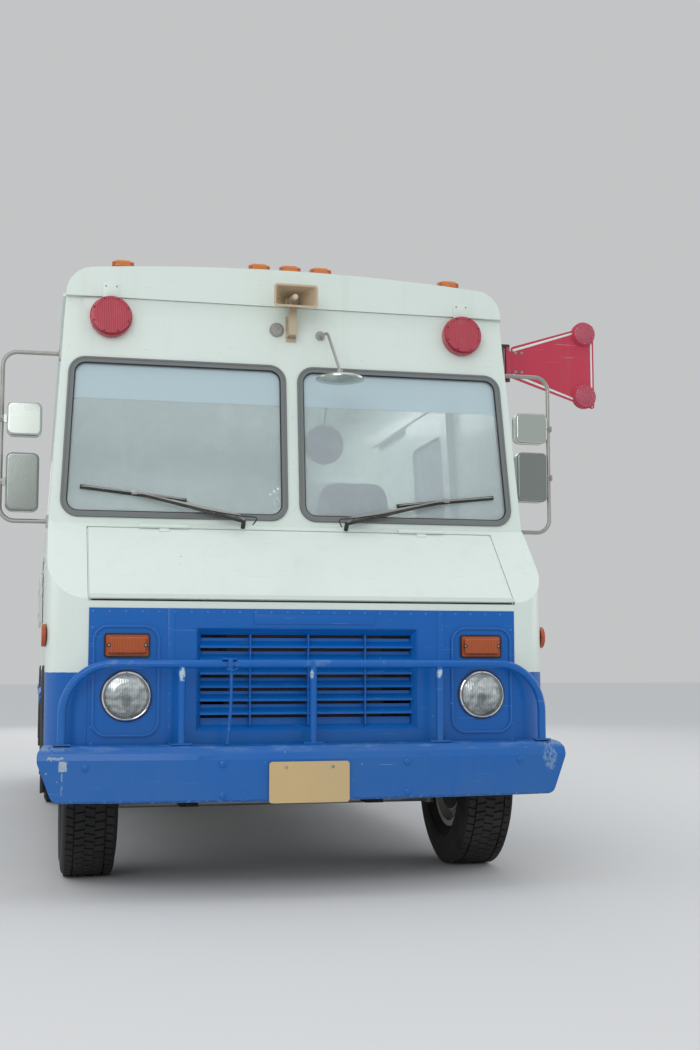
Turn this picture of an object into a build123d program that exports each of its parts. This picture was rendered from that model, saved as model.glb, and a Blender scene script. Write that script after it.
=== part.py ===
from build123d import *
from math import atan2, cos, degrees, radians, sin, tan
import os

# An ice cream truck: a walk-in van body on a ladder chassis with twin rear wheels.
# Millimetres. The origin is on the ground below the middle of the front axle.
# +X is the driver's side, +Y runs back along the truck and +Z is up.

# Fits and gaps
SEAT = 0.3          # gap between a piece and what carries it
CLEAR = 6.0         # gap between a moving panel and its neighbours

# Body section across the truck
HALF_WIDTH = 1000.0     # side wall at the belt
BELT_Z = 1400.0         # the side leans in above this height
EAVE_HALF = HALF_WIDTH - 60.0      # half width where side and roof lines would meet
EAVE_Z = 2500.0
ROOF_CROWN = 45.0       # rise of the roof from its edges to the middle
ROOF_RADIUS = 115.0      # rounding between side and roof
ROOF_SPLIT_Z = 2385.0   # seam under the drip rail
WIDE = HALF_WIDTH + 200.0   # reach of cutters that span the body
WALL = 32.0             # side and roof wall, lining included
SKIRT_Z = 430.0         # lower edge of the body

# Lengths along the truck
WHEELBASE = 3175.0
PANEL_Y = -600.0        # face of the blue front panel
BODY_REAR_Y = 4950.0    # outer face of the rear wall
REAR_WALL = 40.0
DOOR_FRONT_Y = 520.0    # cab doorway
DOOR_REAR_Y = 1200.0
DOOR_TOP_Z = 2110.0

# Windshield wall
COWL_Z = 1426.0         # seam between the nose and the windshield wall
WALL_FOOT_Y = -274.0    # outer face of the wall at the seam
RAKE = 6.75             # degrees that the windshield wall leans back
FRONT_WALL = 40.0

# Wheels
TYRE_R = 375.0
TYRE_W = 224.0
RIM_R = 203.0           # bead seat of a 16 inch rim
FRONT_TRACK_HALF = 815.0
REAR_OUTER_X = 858.0
TWIN_SPACING = 276.0
ARCH_R = 455.0

# Floor
FLOOR_Z = TYRE_R + 345.0
FLOOR_T = 50.0
FLOOR_HALF = HALF_WIDTH - 78.0     # leaves the sliding doors their pocket

# Frame
RAIL_X = 430.0          # outer face of a frame rail
RAIL_H = 150.0
RAIL_TOP_Z = FLOOR_Z - FLOOR_T
RAIL_FLANGE = 65.0
RAIL_T = 8.0


def box(x0, x1, y0, y1, z0, z1):
    return Pos((x0 + x1) / 2, (y0 + y1) / 2, (z0 + z1) / 2) * Box(abs(x1 - x0), abs(y1 - y0), abs(z1 - z0))


def along_x(profile, x0, x1):
    """A profile drawn in (y, z), from x0 to x1."""
    return extrude(Plane(origin=(x0, 0, 0), x_dir=(0, 1, 0), z_dir=(1, 0, 0)) * profile, x1 - x0, (1, 0, 0))


def along_y(profile, y0, y1):
    """A profile drawn in (x, z), from y0 to y1."""
    return extrude(Plane(origin=(0, y0, 0), x_dir=(1, 0, 0), z_dir=(0, -1, 0)) * profile, y1 - y0, (0, 1, 0))


def along_z(profile, z0, z1):
    """A profile drawn in (x, y), from z0 to z1."""
    return extrude(Plane(origin=(0, 0, z0)) * profile, z1 - z0, (0, 0, 1))


def polygon(*points):
    return Polygon(*points, align=None)


def rounded(points, radius):
    """A closed outline of straight lines with its corners rounded."""
    face = polygon(*points)
    return fillet(face.vertices(), radius)


def rectangle(x0, x1, y0, y1, radius=0.0):
    shape = RectangleRounded(x1 - x0, y1 - y0, radius) if radius else Rectangle(x1 - x0, y1 - y0)
    return Pos((x0 + x1) / 2, (y0 + y1) / 2) * shape


def rod(start, end, radius):
    """A straight round bar between two points."""
    a, b = Vector(*start), Vector(*end)
    plane = Plane(origin=a, z_dir=b - a)
    return extrude(plane * Circle(radius), amount=(b - a).length)


def tube(points, radii, radius):
    """A bent round bar: straight runs joined by arcs."""
    path = FilletPolyline(*points, radius=radii)
    start = Plane(origin=path @ 0, z_dir=path % 0)
    return sweep(start * Circle(radius), path=path)


def both_sides(shape):
    return [shape, mirror(shape, Plane.YZ)]


def fuse(*shapes):
    result = shapes[0]
    return result.fuse(*shapes[1:]) if len(shapes) > 1 else result


def write(name, *shapes):
    solids = []
    for shape in shapes:
        solids.extend(shape.solids())
    os.makedirs("parts", exist_ok=True)
    export_step(Compound(children=solids) if len(solids) > 1 else solids[0], f"parts/{name}.step")


# The body's section, inset by a wall thickness

def side_half(z, inset=0.0):
    """Half width of the side wall's face at a height."""
    lean = max(0.0, z - BELT_Z) / (EAVE_Z - BELT_Z)
    return HALF_WIDTH - (HALF_WIDTH - EAVE_HALF) * lean - inset


def body_section(inset, bottom):
    half = HALF_WIDTH - inset
    eave = EAVE_HALF - inset
    top = EAVE_Z - inset
    walls = Polyline((-eave, top), (-half, BELT_Z), (-half, bottom), (half, bottom), (half, BELT_Z),
                     (eave, top))
    crown = ThreePointArc((eave, top), (0, top + ROOF_CROWN), (-eave, top))
    face = make_face(walls + crown)
    corners = face.vertices().filter_by(lambda v: v.Z > BELT_Z + 1 or v.Y > BELT_Z + 1)
    return fillet(corners, ROOF_RADIUS - inset)


def hull_block(inset, y0, y1, bottom=SKIRT_Z - 50):
    return along_y(body_section(inset, bottom), y0, y1)


RAKE_SIN = sin(radians(RAKE))
RAKE_COS = cos(radians(RAKE))
RAKED = Plane(origin=(0, WALL_FOOT_Y, COWL_Z), x_dir=(1, 0, 0), z_dir=(0, -RAKE_COS, RAKE_SIN))


def wall_y(z, depth=0.0):
    """Where the windshield wall's face is at a height, or a depth behind it."""
    return WALL_FOOT_Y + (z - COWL_Z) * tan(radians(RAKE)) + depth / RAKE_COS


def slope(z):
    """Distance up the windshield wall for a height."""
    return (z - COWL_Z) / RAKE_COS


# Frame: two channel rails tied by crossmembers

FRAME_FRONT_Y = -548.0
FRAME_REAR_Y = 4890.0
CROSS_W = 70.0
# y, bottom and top of each crossmember
CROSSMEMBERS = ((-500.0, 536.0, 560.0), (900.0, 584.0, 660.0), (1330.0, 550.0, 640.0), (2230.0, 550.0, 640.0),
                (4060.0, 550.0, 640.0), (4850.0, 550.0, 640.0))
HANGER_W = 46.0
BRACKET_W = 60.0
BRACKET_LAP = 40.0       # how far a bumper bracket runs under its rail
BUMPER_BRACKET_LOW_Z = 440.0


def frame_rails():
    bottom = RAIL_TOP_Z - RAIL_H
    rails = []
    for side in (-1, 1):
        rail = box(side * (RAIL_X - RAIL_FLANGE), side * RAIL_X, FRAME_FRONT_Y, FRAME_REAR_Y, bottom,
                   RAIL_TOP_Z)
        inner = side * (RAIL_X - RAIL_T)
        rails.append(rail - box(inner, inner - side * RAIL_FLANGE, FRAME_FRONT_Y - 1, FRAME_REAR_Y + 1,
                                bottom + RAIL_T, RAIL_TOP_Z - RAIL_T))
    return rails


def crossmembers():
    reach = RAIL_X - RAIL_T - SEAT
    return [box(-reach, reach, y - CROSS_W / 2, y + CROSS_W / 2, low, high) for y, low, high in CROSSMEMBERS]


def frame_brackets():
    """Spring hangers and bumper brackets, all under the rails."""
    top = RAIL_TOP_Z - RAIL_H - SEAT
    brackets = []
    for side in (-1, 1):
        x = side * (RAIL_X - SPRING_W / 2)
        for eye_y, eye_z in spring_eyes():
            brackets.append(box(x - SPRING_W / 2, x + SPRING_W / 2, eye_y - HANGER_W / 2,
                                eye_y + HANGER_W / 2,
                                eye_z + EYE_R + SEAT, top))
        for y0, y1 in ((BUMPER_PAD_Y + SEAT, FRAME_FRONT_Y + BRACKET_LAP),
                       (FRAME_REAR_Y - BRACKET_LAP, STEP_FRONT_Y - SEAT)):
            brackets.append(box(side * (RAIL_X - BRACKET_W), side * RAIL_X, y0, y1, BUMPER_BRACKET_LOW_Z,
                                top))
    return brackets


# Leaf springs, clamped to the axles by plates and bolts

SPRING_W = 64.0
LEAF_T = 9.0
EYE_R = 17.0
# axle y, seat z, half length, rise of the eyes, leaves
SPRINGS = ((0.0, TYRE_R - 30.0, 480.0, 82.0, 4), (WHEELBASE, TYRE_R + 52.0, 560.0, 8.0, 6))
CLAMP_BOLT_R = 7.0
CLAMP_PLATE_T = 14.0


def spring_eyes():
    """The (y, z) of each eye's centre."""
    eyes = []
    for axle_y, seat_z, half, rise, leaves in SPRINGS:
        for end in (-1, 1):
            eyes.append((axle_y + end * half, seat_z + (leaves - 0.5) * LEAF_T + rise))
    return eyes


def leaf_arc(axle_y, z_mid, half, rise, part):
    """One leaf: a strip between two arcs, shortened to a part of the main leaf."""
    reach = half * part
    lift = rise * part * part
    low = ThreePointArc((axle_y - reach, z_mid + lift), (axle_y, z_mid), (axle_y + reach, z_mid + lift))
    high = ThreePointArc((axle_y + reach, z_mid + lift + LEAF_T), (axle_y, z_mid + LEAF_T),
                         (axle_y - reach, z_mid + lift + LEAF_T))
    ends = (Line(low @ 1, high @ 0), Line(high @ 1, low @ 0))
    return make_face(low + ends[0] + high + ends[1])


def leaf_spring(x, axle_y, seat_z, half, rise, leaves, axle_half, axle_low):
    pieces = []
    for index in range(leaves):
        part = 1.0 - 0.17 * (leaves - 1 - index)
        face = leaf_arc(axle_y, seat_z + index * LEAF_T, half, rise, part)
        pieces.append(along_x(face, x - SPRING_W / 2, x + SPRING_W / 2))
    eye_z = seat_z + (leaves - 0.5) * LEAF_T + rise
    for end in (-1, 1):
        pieces.append(rod((x - SPRING_W / 2, axle_y + end * half, eye_z),
                          (x + SPRING_W / 2, axle_y + end * half, eye_z), EYE_R))
    pack_top = seat_z + leaves * LEAF_T
    reach = axle_half + CLAMP_BOLT_R + SEAT
    wide = SPRING_W / 2 + CLAMP_BOLT_R
    for z0 in (pack_top - 2, axle_low - SEAT - CLAMP_PLATE_T):
        pieces.append(box(x - wide, x + wide, axle_y - reach - 10, axle_y + reach + 10, z0,
                          z0 + CLAMP_PLATE_T))
    for dx in (-SPRING_W / 2, SPRING_W / 2):
        for dy in (-reach, reach):
            bolt_x, bolt_y = x + dx, axle_y + dy
            pieces.append(rod((bolt_x, bolt_y, axle_low - CLAMP_PLATE_T), (bolt_x, bolt_y, pack_top + 8),
                              CLAMP_BOLT_R))
    return fuse(*pieces)


def leaf_springs():
    springs = []
    x = RAIL_X - SPRING_W / 2
    axle_sizes = ((BEAM_HALF, BEAM_LOW_Z), (AXLE_TUBE_R, TYRE_R - AXLE_TUBE_R))
    for spring, (axle_half, axle_low) in zip(SPRINGS, axle_sizes):
        for side in (-1, 1):
            springs.append(leaf_spring(side * x, *spring, axle_half, axle_low))
    return springs


# Front axle: a dropped beam with a kingpin at each end

KINGPIN_X = 705.0
KINGPIN_R = 15.0
EYE_HALF = 30.0         # half height and radius of the beam's eye
BEAM_HALF = 32.0
BEAM_LOW_Z = TYRE_R - 92.0
BEAM_H = 62.0
EAR_T = 22.0
SPINDLE_R = 25.0
STEER_ARM = 165.0       # kingpin to tie rod, straight back
TIE_ROD_Z = TYRE_R - 113.0
TIE_ROD_R = 13.0
TIE_END_HALF = 16.0
BALL_PIN_R = 8.0


def front_axle():
    beam_top = BEAM_LOW_Z + BEAM_H
    half = polygon((0, BEAM_LOW_Z), (500, BEAM_LOW_Z), (620, TYRE_R - EYE_HALF),
                   (KINGPIN_X, TYRE_R - EYE_HALF),
                   (KINGPIN_X, TYRE_R + EYE_HALF), (600, TYRE_R + EYE_HALF), (500, beam_top), (0, beam_top))
    beam = along_y(half, -BEAM_HALF, BEAM_HALF)
    groove = along_y(polygon((0, BEAM_LOW_Z + 14), (500, BEAM_LOW_Z + 14), (600, TYRE_R - EYE_HALF + 16),
                             (600, TYRE_R + EYE_HALF - 16), (490, beam_top - 14), (0, beam_top - 14)), 10,
                             BEAM_HALF + 1)
    beam = beam - groove - mirror(groove, Plane.XZ)
    eye = rod((KINGPIN_X, 0, TYRE_R - EYE_HALF), (KINGPIN_X, 0, TYRE_R + EYE_HALF), EYE_HALF)
    reach = EYE_HALF + EAR_T + 8
    pin = rod((KINGPIN_X, 0, TYRE_R - reach), (KINGPIN_X, 0, TYRE_R + reach), KINGPIN_R)
    half_axle = fuse(beam, eye, pin)
    return fuse(half_axle, mirror(half_axle, Plane.YZ))


# Steering knuckles and tie rod

HUB_FACE_X = 752.0      # where the spindle leaves the knuckle
SPINDLE_END_X = 872.0
PLATE_R = 142.0         # brake backing plate


def knuckle():
    """The driver's side knuckle: a fork on the kingpin, the spindle and the steering arm."""
    pieces = []
    for z0 in (TYRE_R - EYE_HALF - SEAT - EAR_T, TYRE_R + EYE_HALF + SEAT):
        pieces.append(rod((KINGPIN_X, 0, z0), (KINGPIN_X, 0, z0 + EAR_T), EYE_HALF))
        pieces.append(box(KINGPIN_X, HUB_FACE_X, -26, 26, z0, z0 + EAR_T))
    reach = EYE_HALF + SEAT + EAR_T
    pieces.append(box(KINGPIN_X + EYE_HALF + 5, HUB_FACE_X, -26, 26, TYRE_R - reach, TYRE_R + reach))
    pieces.append(rod((HUB_FACE_X - 12, 0, TYRE_R), (SPINDLE_END_X, 0, TYRE_R), SPINDLE_R))
    pieces.append(rod((HUB_FACE_X - 6, 0, TYRE_R), (HUB_FACE_X, 0, TYRE_R), PLATE_R))
    arm_top = TYRE_R - EYE_HALF - SEAT
    pieces.append(box(KINGPIN_X - 16, KINGPIN_X + 16, 0, STEER_ARM, arm_top - EAR_T, arm_top))
    pieces.append(rod((KINGPIN_X, STEER_ARM, TIE_ROD_Z + TIE_END_HALF + SEAT),
                      (KINGPIN_X, STEER_ARM, arm_top), 20))
    body = fuse(*pieces)
    bore = rod((KINGPIN_X, 0, 0), (KINGPIN_X, 0, 2 * TYRE_R), KINGPIN_R + SEAT)
    pin = rod((KINGPIN_X, STEER_ARM, TIE_ROD_Z - TIE_END_HALF), (KINGPIN_X, STEER_ARM, arm_top - 4),
              BALL_PIN_R)
    return fuse(body - bore, pin)


def tie_rod():
    reach = KINGPIN_X - 14
    bar = rod((-reach, STEER_ARM, TIE_ROD_Z), (reach, STEER_ARM, TIE_ROD_Z), TIE_ROD_R)
    ends = []
    for side in (-1, 1):
        ends.append(rod((side * KINGPIN_X, STEER_ARM, TIE_ROD_Z - TIE_END_HALF),
                        (side * KINGPIN_X, STEER_ARM, TIE_ROD_Z + TIE_END_HALF), 21))
    bores = [rod((side * KINGPIN_X, STEER_ARM, TIE_ROD_Z - 20), (side * KINGPIN_X, STEER_ARM, TIE_ROD_Z + 20),
                 BALL_PIN_R + SEAT) for side in (-1, 1)]
    return fuse(bar, *ends) - bores[0] - bores[1]


# Wheels

RIM_W = 152.0
RIM_T = 9.0
DRUM_R = 150.0
HUB_R = 62.0


def turned(points, x, y):
    """A ring turned about an axle at (y, TYRE_R), from (distance out along x, radius) points."""
    face = Plane(origin=(x, y, TYRE_R), x_dir=(1, 0, 0), z_dir=(0, -1, 0)) * polygon(*points)
    return revolve(face, Axis((x, y, TYRE_R), (1, 0, 0)), 360)


def tyre(x, y):
    """A tyre whose sidewalls bulge past the bead, with bevelled shoulders."""
    half = TYRE_W / 2
    bead = RIM_W / 2 - RIM_T
    side = [(bead, RIM_R + SEAT), (bead, RIM_R + 16), (half - 14, RIM_R + 40),
            (half, (TYRE_R + RIM_R) / 2 - 4),
            (half - 5, TYRE_R - 34), (half - 12, TYRE_R - 8), (half - 24, TYRE_R)]
    other = [(-across, radius) for across, radius in reversed(side)]
    return turned((*side, *other), x, y)


def rim_points(side):
    """The rim's barrel: (distance out, radius), flange to flange."""
    half = RIM_W / 2
    lip = RIM_R + 14
    outer = ((-half, lip), (-half + RIM_T, lip), (-half + RIM_T, RIM_R), (-24, RIM_R), (-14, RIM_R - 26),
             (14, RIM_R - 26), (24, RIM_R), (half - RIM_T, RIM_R), (half - RIM_T, lip), (half, lip))
    inner = ((half, RIM_R - RIM_T), (30, RIM_R - RIM_T), (18, RIM_R - 26 - RIM_T), (-18, RIM_R - 26 - RIM_T),
             (-30, RIM_R - RIM_T), (-half, RIM_R - RIM_T))
    return [(side * x, r) for x, r in outer + inner]


HAND_HOLES = 8
HAND_HOLE_R = 17.0
HAND_HOLE_RING = 132.0


def front_wheel():
    """Driver's side: rim, dished disc, hub on the spindle, drum and a domed cover."""
    x = FRONT_TRACK_HALF
    barrel = turned(rim_points(1), x, 0)
    disc = turned(((2, HUB_R), (18, HUB_R + 30), (18, RIM_R - 50), (-8, RIM_R - 36), (-8, RIM_R - 30),
                   (14, RIM_R - 26), (26, RIM_R - 48), (26, HUB_R + 26), (14, HUB_R)), x, 0)
    for index in range(HAND_HOLES):
        turn = 360 / HAND_HOLES * index
        y = HAND_HOLE_RING * cos(radians(turn))
        z = HAND_HOLE_RING * sin(radians(turn))
        disc = disc - rod((x - 30, y, TYRE_R + z), (x + 60, y, TYRE_R + z), HAND_HOLE_R)
    bore = SPINDLE_R + SEAT
    inner = HUB_FACE_X + 2 - x
    hub = turned(((inner, bore), (inner, HUB_R + 12), (20, HUB_R), (70, 42), (84, 20), (84, 0),
                  (SPINDLE_END_X - x + 3, 0), (SPINDLE_END_X - x + 3, bore)), x, 0)
    drum = turned(((inner, DRUM_R - 14), (inner, DRUM_R), (2, DRUM_R), (2, HUB_R - 2), (-6, HUB_R - 2),
                   (-6, DRUM_R - 14)), x, 0)
    return fuse(barrel, disc, hub, drum)


REAR_DRUM_INNER_X = 596.0
REAR_DRUM_OUTER_X = 652.0
REAR_DRUM_R = 142.0
REAR_SPINDLE_R = 38.0
REAR_SPINDLE_END_X = 812.0


def rear_wheels():
    """Driver's side twin wheels, bolted face to face on one hub."""
    y = WHEELBASE
    outer_x = REAR_OUTER_X
    inner_x = REAR_OUTER_X - TWIN_SPACING
    mid = (outer_x + inner_x) / 2
    pieces = []
    for x, side in ((outer_x, 1), (inner_x, -1)):
        pieces.append(turned(rim_points(side), x, y))
        face = side * abs(x - mid)
        points = [(-face, HUB_R), (-face, 118), (-8 * side, RIM_R - 32), (8 * side, RIM_R - 32),
                  (-face + 14 * side, 118), (-face + 14 * side, HUB_R)]
        disc = turned(points, x, y)
        for index in range(HAND_HOLES):
            turn = 360 / HAND_HOLES * (index + 0.5)
            dy = 143 * cos(radians(turn))
            dz = 143 * sin(radians(turn))
            disc = disc - rod((x - 150, y + dy, TYRE_R + dz), (x + 150, y + dy, TYRE_R + dz), HAND_HOLE_R - 3)
        pieces.append(disc)
    bore = REAR_SPINDLE_R + SEAT
    end = REAR_SPINDLE_END_X + 3
    pieces.append(turned(((REAR_DRUM_INNER_X - mid, bore), (REAR_DRUM_INNER_X - mid, HUB_R + 14),
                          (0, HUB_R + 2),
                          (60, HUB_R - 4), (end - mid - 12, HUB_R - 8), (end - mid + 22, HUB_R - 8),
                          (end - mid + 22, 0), (end - mid, 0), (end - mid, bore)), mid, y))
    near = REAR_DRUM_INNER_X - mid
    far = REAR_DRUM_OUTER_X - mid
    pieces.append(turned(((near, REAR_DRUM_R - 12), (near, REAR_DRUM_R), (far, REAR_DRUM_R), (far, HUB_R),
                          (far - 8, HUB_R), (far - 8, REAR_DRUM_R - 12)), mid, y))
    return fuse(*pieces)


# Rear axle: banjo housing, tubes and driveshaft

AXLE_TUBE_R = 48.0
BANJO_R = 150.0


def rear_axle():
    y = WHEELBASE
    tube_end = REAR_DRUM_INNER_X - 10
    half = [(45, BANJO_R), (60, BANJO_R - 12), (95, AXLE_TUBE_R), (tube_end, AXLE_TUBE_R),
            (tube_end, REAR_DRUM_R - 4), (tube_end + 6, REAR_DRUM_R - 4), (tube_end + 6, REAR_SPINDLE_R),
            (REAR_SPINDLE_END_X, REAR_SPINDLE_R), (REAR_SPINDLE_END_X, 0)]
    other = [(-x, r) for x, r in reversed(half)]
    pieces = [turned((*half, *other), 0, y)]
    for side in (-1, 1):
        pieces.append(box(side * (RAIL_X - SPRING_W), side * RAIL_X, y - 40, y + 40, TYRE_R, SPRINGS[1][1]))
    pinion_z = TYRE_R + 10
    yoke_y = GEARBOX_REAR_Y + 60
    pieces.append(Pos(0, y - 130, pinion_z) * Rot(90, 0, 0) * Cone(80, 45, 200))
    pieces.append(rod((0, GEARBOX_REAR_Y + SEAT, GEARBOX_Z), (0, yoke_y, GEARBOX_Z), 40))
    pieces.append(rod((0, y - 200, pinion_z), (0, yoke_y - 10, GEARBOX_Z), 36))
    return fuse(*pieces)


# Engine with gearbox, and the radiator behind the grille

ENGINE = (-250.0, 250.0, -380.0, 190.0, 400.0, 960.0)   # x0, x1, y0, y1, z0, z1
GEARBOX_REAR_Y = 700.0
GEARBOX_Z = 540.0
GEARBOX_HALF = 110.0
RADIATOR_HALF = 310.0
RADIATOR = (-525.0, -465.0, 1020.0)      # y0, y1, top z


def engine():
    block = box(*ENGINE)
    gearbox = box(-GEARBOX_HALF, GEARBOX_HALF, ENGINE[3], GEARBOX_REAR_Y, GEARBOX_Z - GEARBOX_HALF,
                  GEARBOX_Z + GEARBOX_HALF)
    mounts = [box(side * ENGINE[1], side * (RAIL_X - RAIL_T - SEAT), -60, 20, 560, 620) for side in (-1, 1)]
    y0, y1, top = RADIATOR
    radiator = box(-RADIATOR_HALF, RADIATOR_HALF, y0, y1, CROSSMEMBERS[0][2], top)
    return [fuse(block, gearbox, *mounts), radiator]


def fuel_tank():
    tank = box(RAIL_X + SEAT, 740, 1400, 2150, 400, 640)
    return fillet(tank.edges().filter_by(Axis.Y), 45)


EXHAUST_X = -320.0
EXHAUST_Z = 470.0
PIPE_R = 25.0
MUFFLER = (-258.0, 1500.0, 2120.0, 82.0)     # x, y0, y1 and radius


def exhaust():
    start = ENGINE[0] - SEAT
    flange = box(start - 8, start, 60, 140, EXHAUST_Z - 40, EXHAUST_Z + 40)
    pipe = tube([(start - 4, 100, EXHAUST_Z), (EXHAUST_X, 100, EXHAUST_Z),
                 (EXHAUST_X, FRAME_REAR_Y + 40, EXHAUST_Z)],
                [40], PIPE_R)
    x, y0, y1, radius = MUFFLER
    muffler = rod((x, y0, EXHAUST_Z - 24), (x, y1, EXHAUST_Z - 24), radius)
    return fuse(flange, pipe, muffler)


# Floor, with a raised house over each wheel and a well at each cab door

HOUSE_T = 6.0
HOUSE_TOP_Z = FLOOR_Z + 142.0
HOUSE_FRONT = (462.0, 476.0)     # inner face x, half length
HOUSE_REAR = (452.0, 470.0)
HOUSES = ((0.0, HOUSE_FRONT), (WHEELBASE, HOUSE_REAR))
FLOOR_FRONT_Y = -520.0
FLOOR_REAR_Y = BODY_REAR_Y - REAR_WALL - SEAT
POCKET_END_Y = 1960.0            # the door pockets run back to here
WELL_X = HALF_WIDTH - 265.0
WELL_Z = 478.0
WELL_T = 5.0
WELL_MARGIN = 15.0               # the well is longer than the doorway by this at each end
ENGINE_HATCH = (322.0, 270.0)    # half width, rear edge y


def floor():
    wall_inner = HALF_WIDTH - WALL - SEAT
    slab = box(-FLOOR_HALF, FLOOR_HALF, FLOOR_FRONT_Y, POCKET_END_Y, FLOOR_Z - FLOOR_T, FLOOR_Z)
    rear = box(-wall_inner, wall_inner, POCKET_END_Y, FLOOR_REAR_Y, FLOOR_Z - FLOOR_T, FLOOR_Z)
    body = fuse(slab, rear)
    body = body - box(-ENGINE_HATCH[0], ENGINE_HATCH[0], FLOOR_FRONT_Y - 1, ENGINE_HATCH[1], 0, 2 * FLOOR_Z)
    gap = SEAT
    for side in (-1, 1):
        for axle_y, (inner, half) in HOUSES:
            body = body - box(side * (inner - gap), side * HALF_WIDTH, axle_y - half - gap,
                              axle_y + half + gap,
                              0, 2 * FLOOR_Z)
        body = body - box(side * (WELL_X - WELL_T - gap), side * HALF_WIDTH, DOOR_FRONT_Y - WELL_MARGIN - gap,
                          DOOR_REAR_Y + WELL_MARGIN + gap, 0, 2 * FLOOR_Z)
    return body


def wheel_houses():
    """Boxes over the wheels, open below and outboard."""
    outer = HALF_WIDTH - WALL - SEAT
    houses = []
    for side in (-1, 1):
        for axle_y, (inner, half) in HOUSES:
            shell = box(side * inner, side * outer, axle_y - half, axle_y + half, FLOOR_Z - FLOOR_T,
                        HOUSE_TOP_Z)
            houses.append(shell - box(side * (inner + HOUSE_T), side * (outer + 10), axle_y - half + HOUSE_T,
                                      axle_y + half - HOUSE_T, FLOOR_Z - FLOOR_T - 10, HOUSE_TOP_Z - HOUSE_T))
    return houses


def step_wells():
    """Sunk steps inside the cab doors, open above and outboard."""
    wells = []
    y0, y1 = DOOR_FRONT_Y - WELL_MARGIN, DOOR_REAR_Y + WELL_MARGIN
    for side in (-1, 1):
        well = box(side * (WELL_X - WELL_T), side * FLOOR_HALF, y0, y1, WELL_Z - WELL_T, FLOOR_Z)
        wells.append(well - box(side * WELL_X, side * HALF_WIDTH, y0 + WELL_T, y1 - WELL_T, WELL_Z,
                                2 * FLOOR_Z))
    return wells


# Nose: rounded white corners, the cowl and the opening that the hood closes

NOSE_FACE_Y = PANEL_Y + 3.0
NOSE_REAR_Y = -230.0
NOSE_T = 28.0
NOSE_CORNER_R = 150.0
LIP_Z = 1107.0
SLOPE_TOP = (-292.0, 1416.0)     # y, z where the hood meets the cowl
PANEL_HALF = HALF_WIDTH - 157.0
PANEL_TOP_Z = 1072.0
PANEL_T = 24.0
HOOD_HALF = PANEL_HALF
HOOD_T = 22.0


def nose_outline(inset):
    """Side view: the vertical front, the slope under the hood and the cowl."""
    face = NOSE_FACE_Y + inset
    slope_angle = atan_deg(SLOPE_TOP[1] - LIP_Z, SLOPE_TOP[0] - NOSE_FACE_Y)
    down = inset / cos(radians(slope_angle))
    knee_z = LIP_Z + inset * tan(radians(slope_angle)) - down
    top = COWL_Z - inset if inset else COWL_Z
    run = (top - knee_z) / tan(radians(slope_angle))
    return polygon((face, SKIRT_Z - (10 if inset else 0)), (face, knee_z), (face + run, top),
                   (NOSE_REAR_Y + inset, top),
                   (NOSE_REAR_Y + inset, SKIRT_Z - (10 if inset else 0)))


def atan_deg(rise, run):
    return degrees(atan2(rise, run))


def nose_block(inset):
    profile = along_x(nose_outline(inset), -HALF_WIDTH - 1, HALF_WIDTH + 1)
    half = HALF_WIDTH - inset
    plan = rectangle(-half, half, NOSE_FACE_Y + inset, NOSE_REAR_Y + 600, NOSE_CORNER_R - inset)
    block = hull_block(inset, NOSE_FACE_Y - 20, NOSE_REAR_Y + 20)
    return profile & along_z(plan, SKIRT_Z - 20, COWL_Z + 20) & block


LAMP_X = PANEL_HALF - 143.0
HEADLAMP_Z = 740.0
TURN_Z = 930.0
# Raised border round each pair of lamps: x0, x1, z0, z1
LAMP_BORDER = (LAMP_X - 125.0, LAMP_X + 131.0, 587.0, 1009.0)
BEAD_W = 12.0
BEAD_H = 6.0
GRILLE = (-440.0, 440.0, 604.0, 1001.0)     # hole in the panel: x0, x1, z0, z1
BUMPER_PAD_Y = -735.0
PANEL_LOW_Z = 548.0
STEP_Z = (490.0, 560.0)
STEP_FRONT_Y = BODY_REAR_Y + SEAT


def wheel_arch(axle_y):
    """Cutter for the arch over a wheel, through both sides."""
    disc = along_x(Pos(axle_y, TYRE_R) * Circle(ARCH_R), -HALF_WIDTH - 50, HALF_WIDTH + 50)
    return fuse(disc, box(-HALF_WIDTH - 50, HALF_WIDTH + 50, axle_y - ARCH_R, axle_y + ARCH_R, 0, TYRE_R))


def nose():
    shell = nose_block(0) - nose_block(NOSE_T)
    panel_hole = box(-PANEL_HALF - SEAT, PANEL_HALF + SEAT, NOSE_FACE_Y - 10, NOSE_FACE_Y + NOSE_T + 5,
                     0, PANEL_TOP_Z + SEAT)
    hood_hole = Box(2 * (HOOD_HALF + CLEAR), HOOD_LENGTH + 2 * CLEAR, 120)
    hood_hole = HOOD_PLANE * Pos(0, HOOD_LENGTH / 2, 0) * hood_hole
    shell = shell - panel_hole - hood_hole - wheel_arch(0.0)
    pins = []
    for x0, x1 in HOOD_HINGES:
        mid = (x0 + x1) / 2
        for a, b in ((x0, mid - 20), (mid + 20, x1)):
            pins.append(rod((a, *HOOD_AXIS), (b, *HOOD_AXIS), HINGE_R))
            pins.append(HOOD_PLANE * Pos((a + b) / 2, HOOD_LENGTH + 15, 1.5) * Box(b - a, 22, 5))
        pins.append(rod((mid - 25, *HOOD_AXIS), (mid + 25, *HOOD_AXIS), HINGE_PIN_R))
    return fuse(shell, *pins)


# Hood: a lid on the slope, hinged along its upper edge

SLOPE_DEG = degrees(atan2(SLOPE_TOP[1] - LIP_Z, SLOPE_TOP[0] - NOSE_FACE_Y))
HOOD_PLANE = Plane(origin=(0, NOSE_FACE_Y, LIP_Z), x_dir=(1, 0, 0),
                   z_dir=(0, -sin(radians(SLOPE_DEG)), cos(radians(SLOPE_DEG))))
HOOD_LENGTH = (SLOPE_TOP[1] - LIP_Z) / sin(radians(SLOPE_DEG)) - 14
HINGE_R = 8.0
HINGE_PIN_R = 3.5
HOOD_HINGES = ((-640.0, -440.0), (440.0, 640.0))     # x range of each hinge
LIP_H = 18.0


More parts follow.
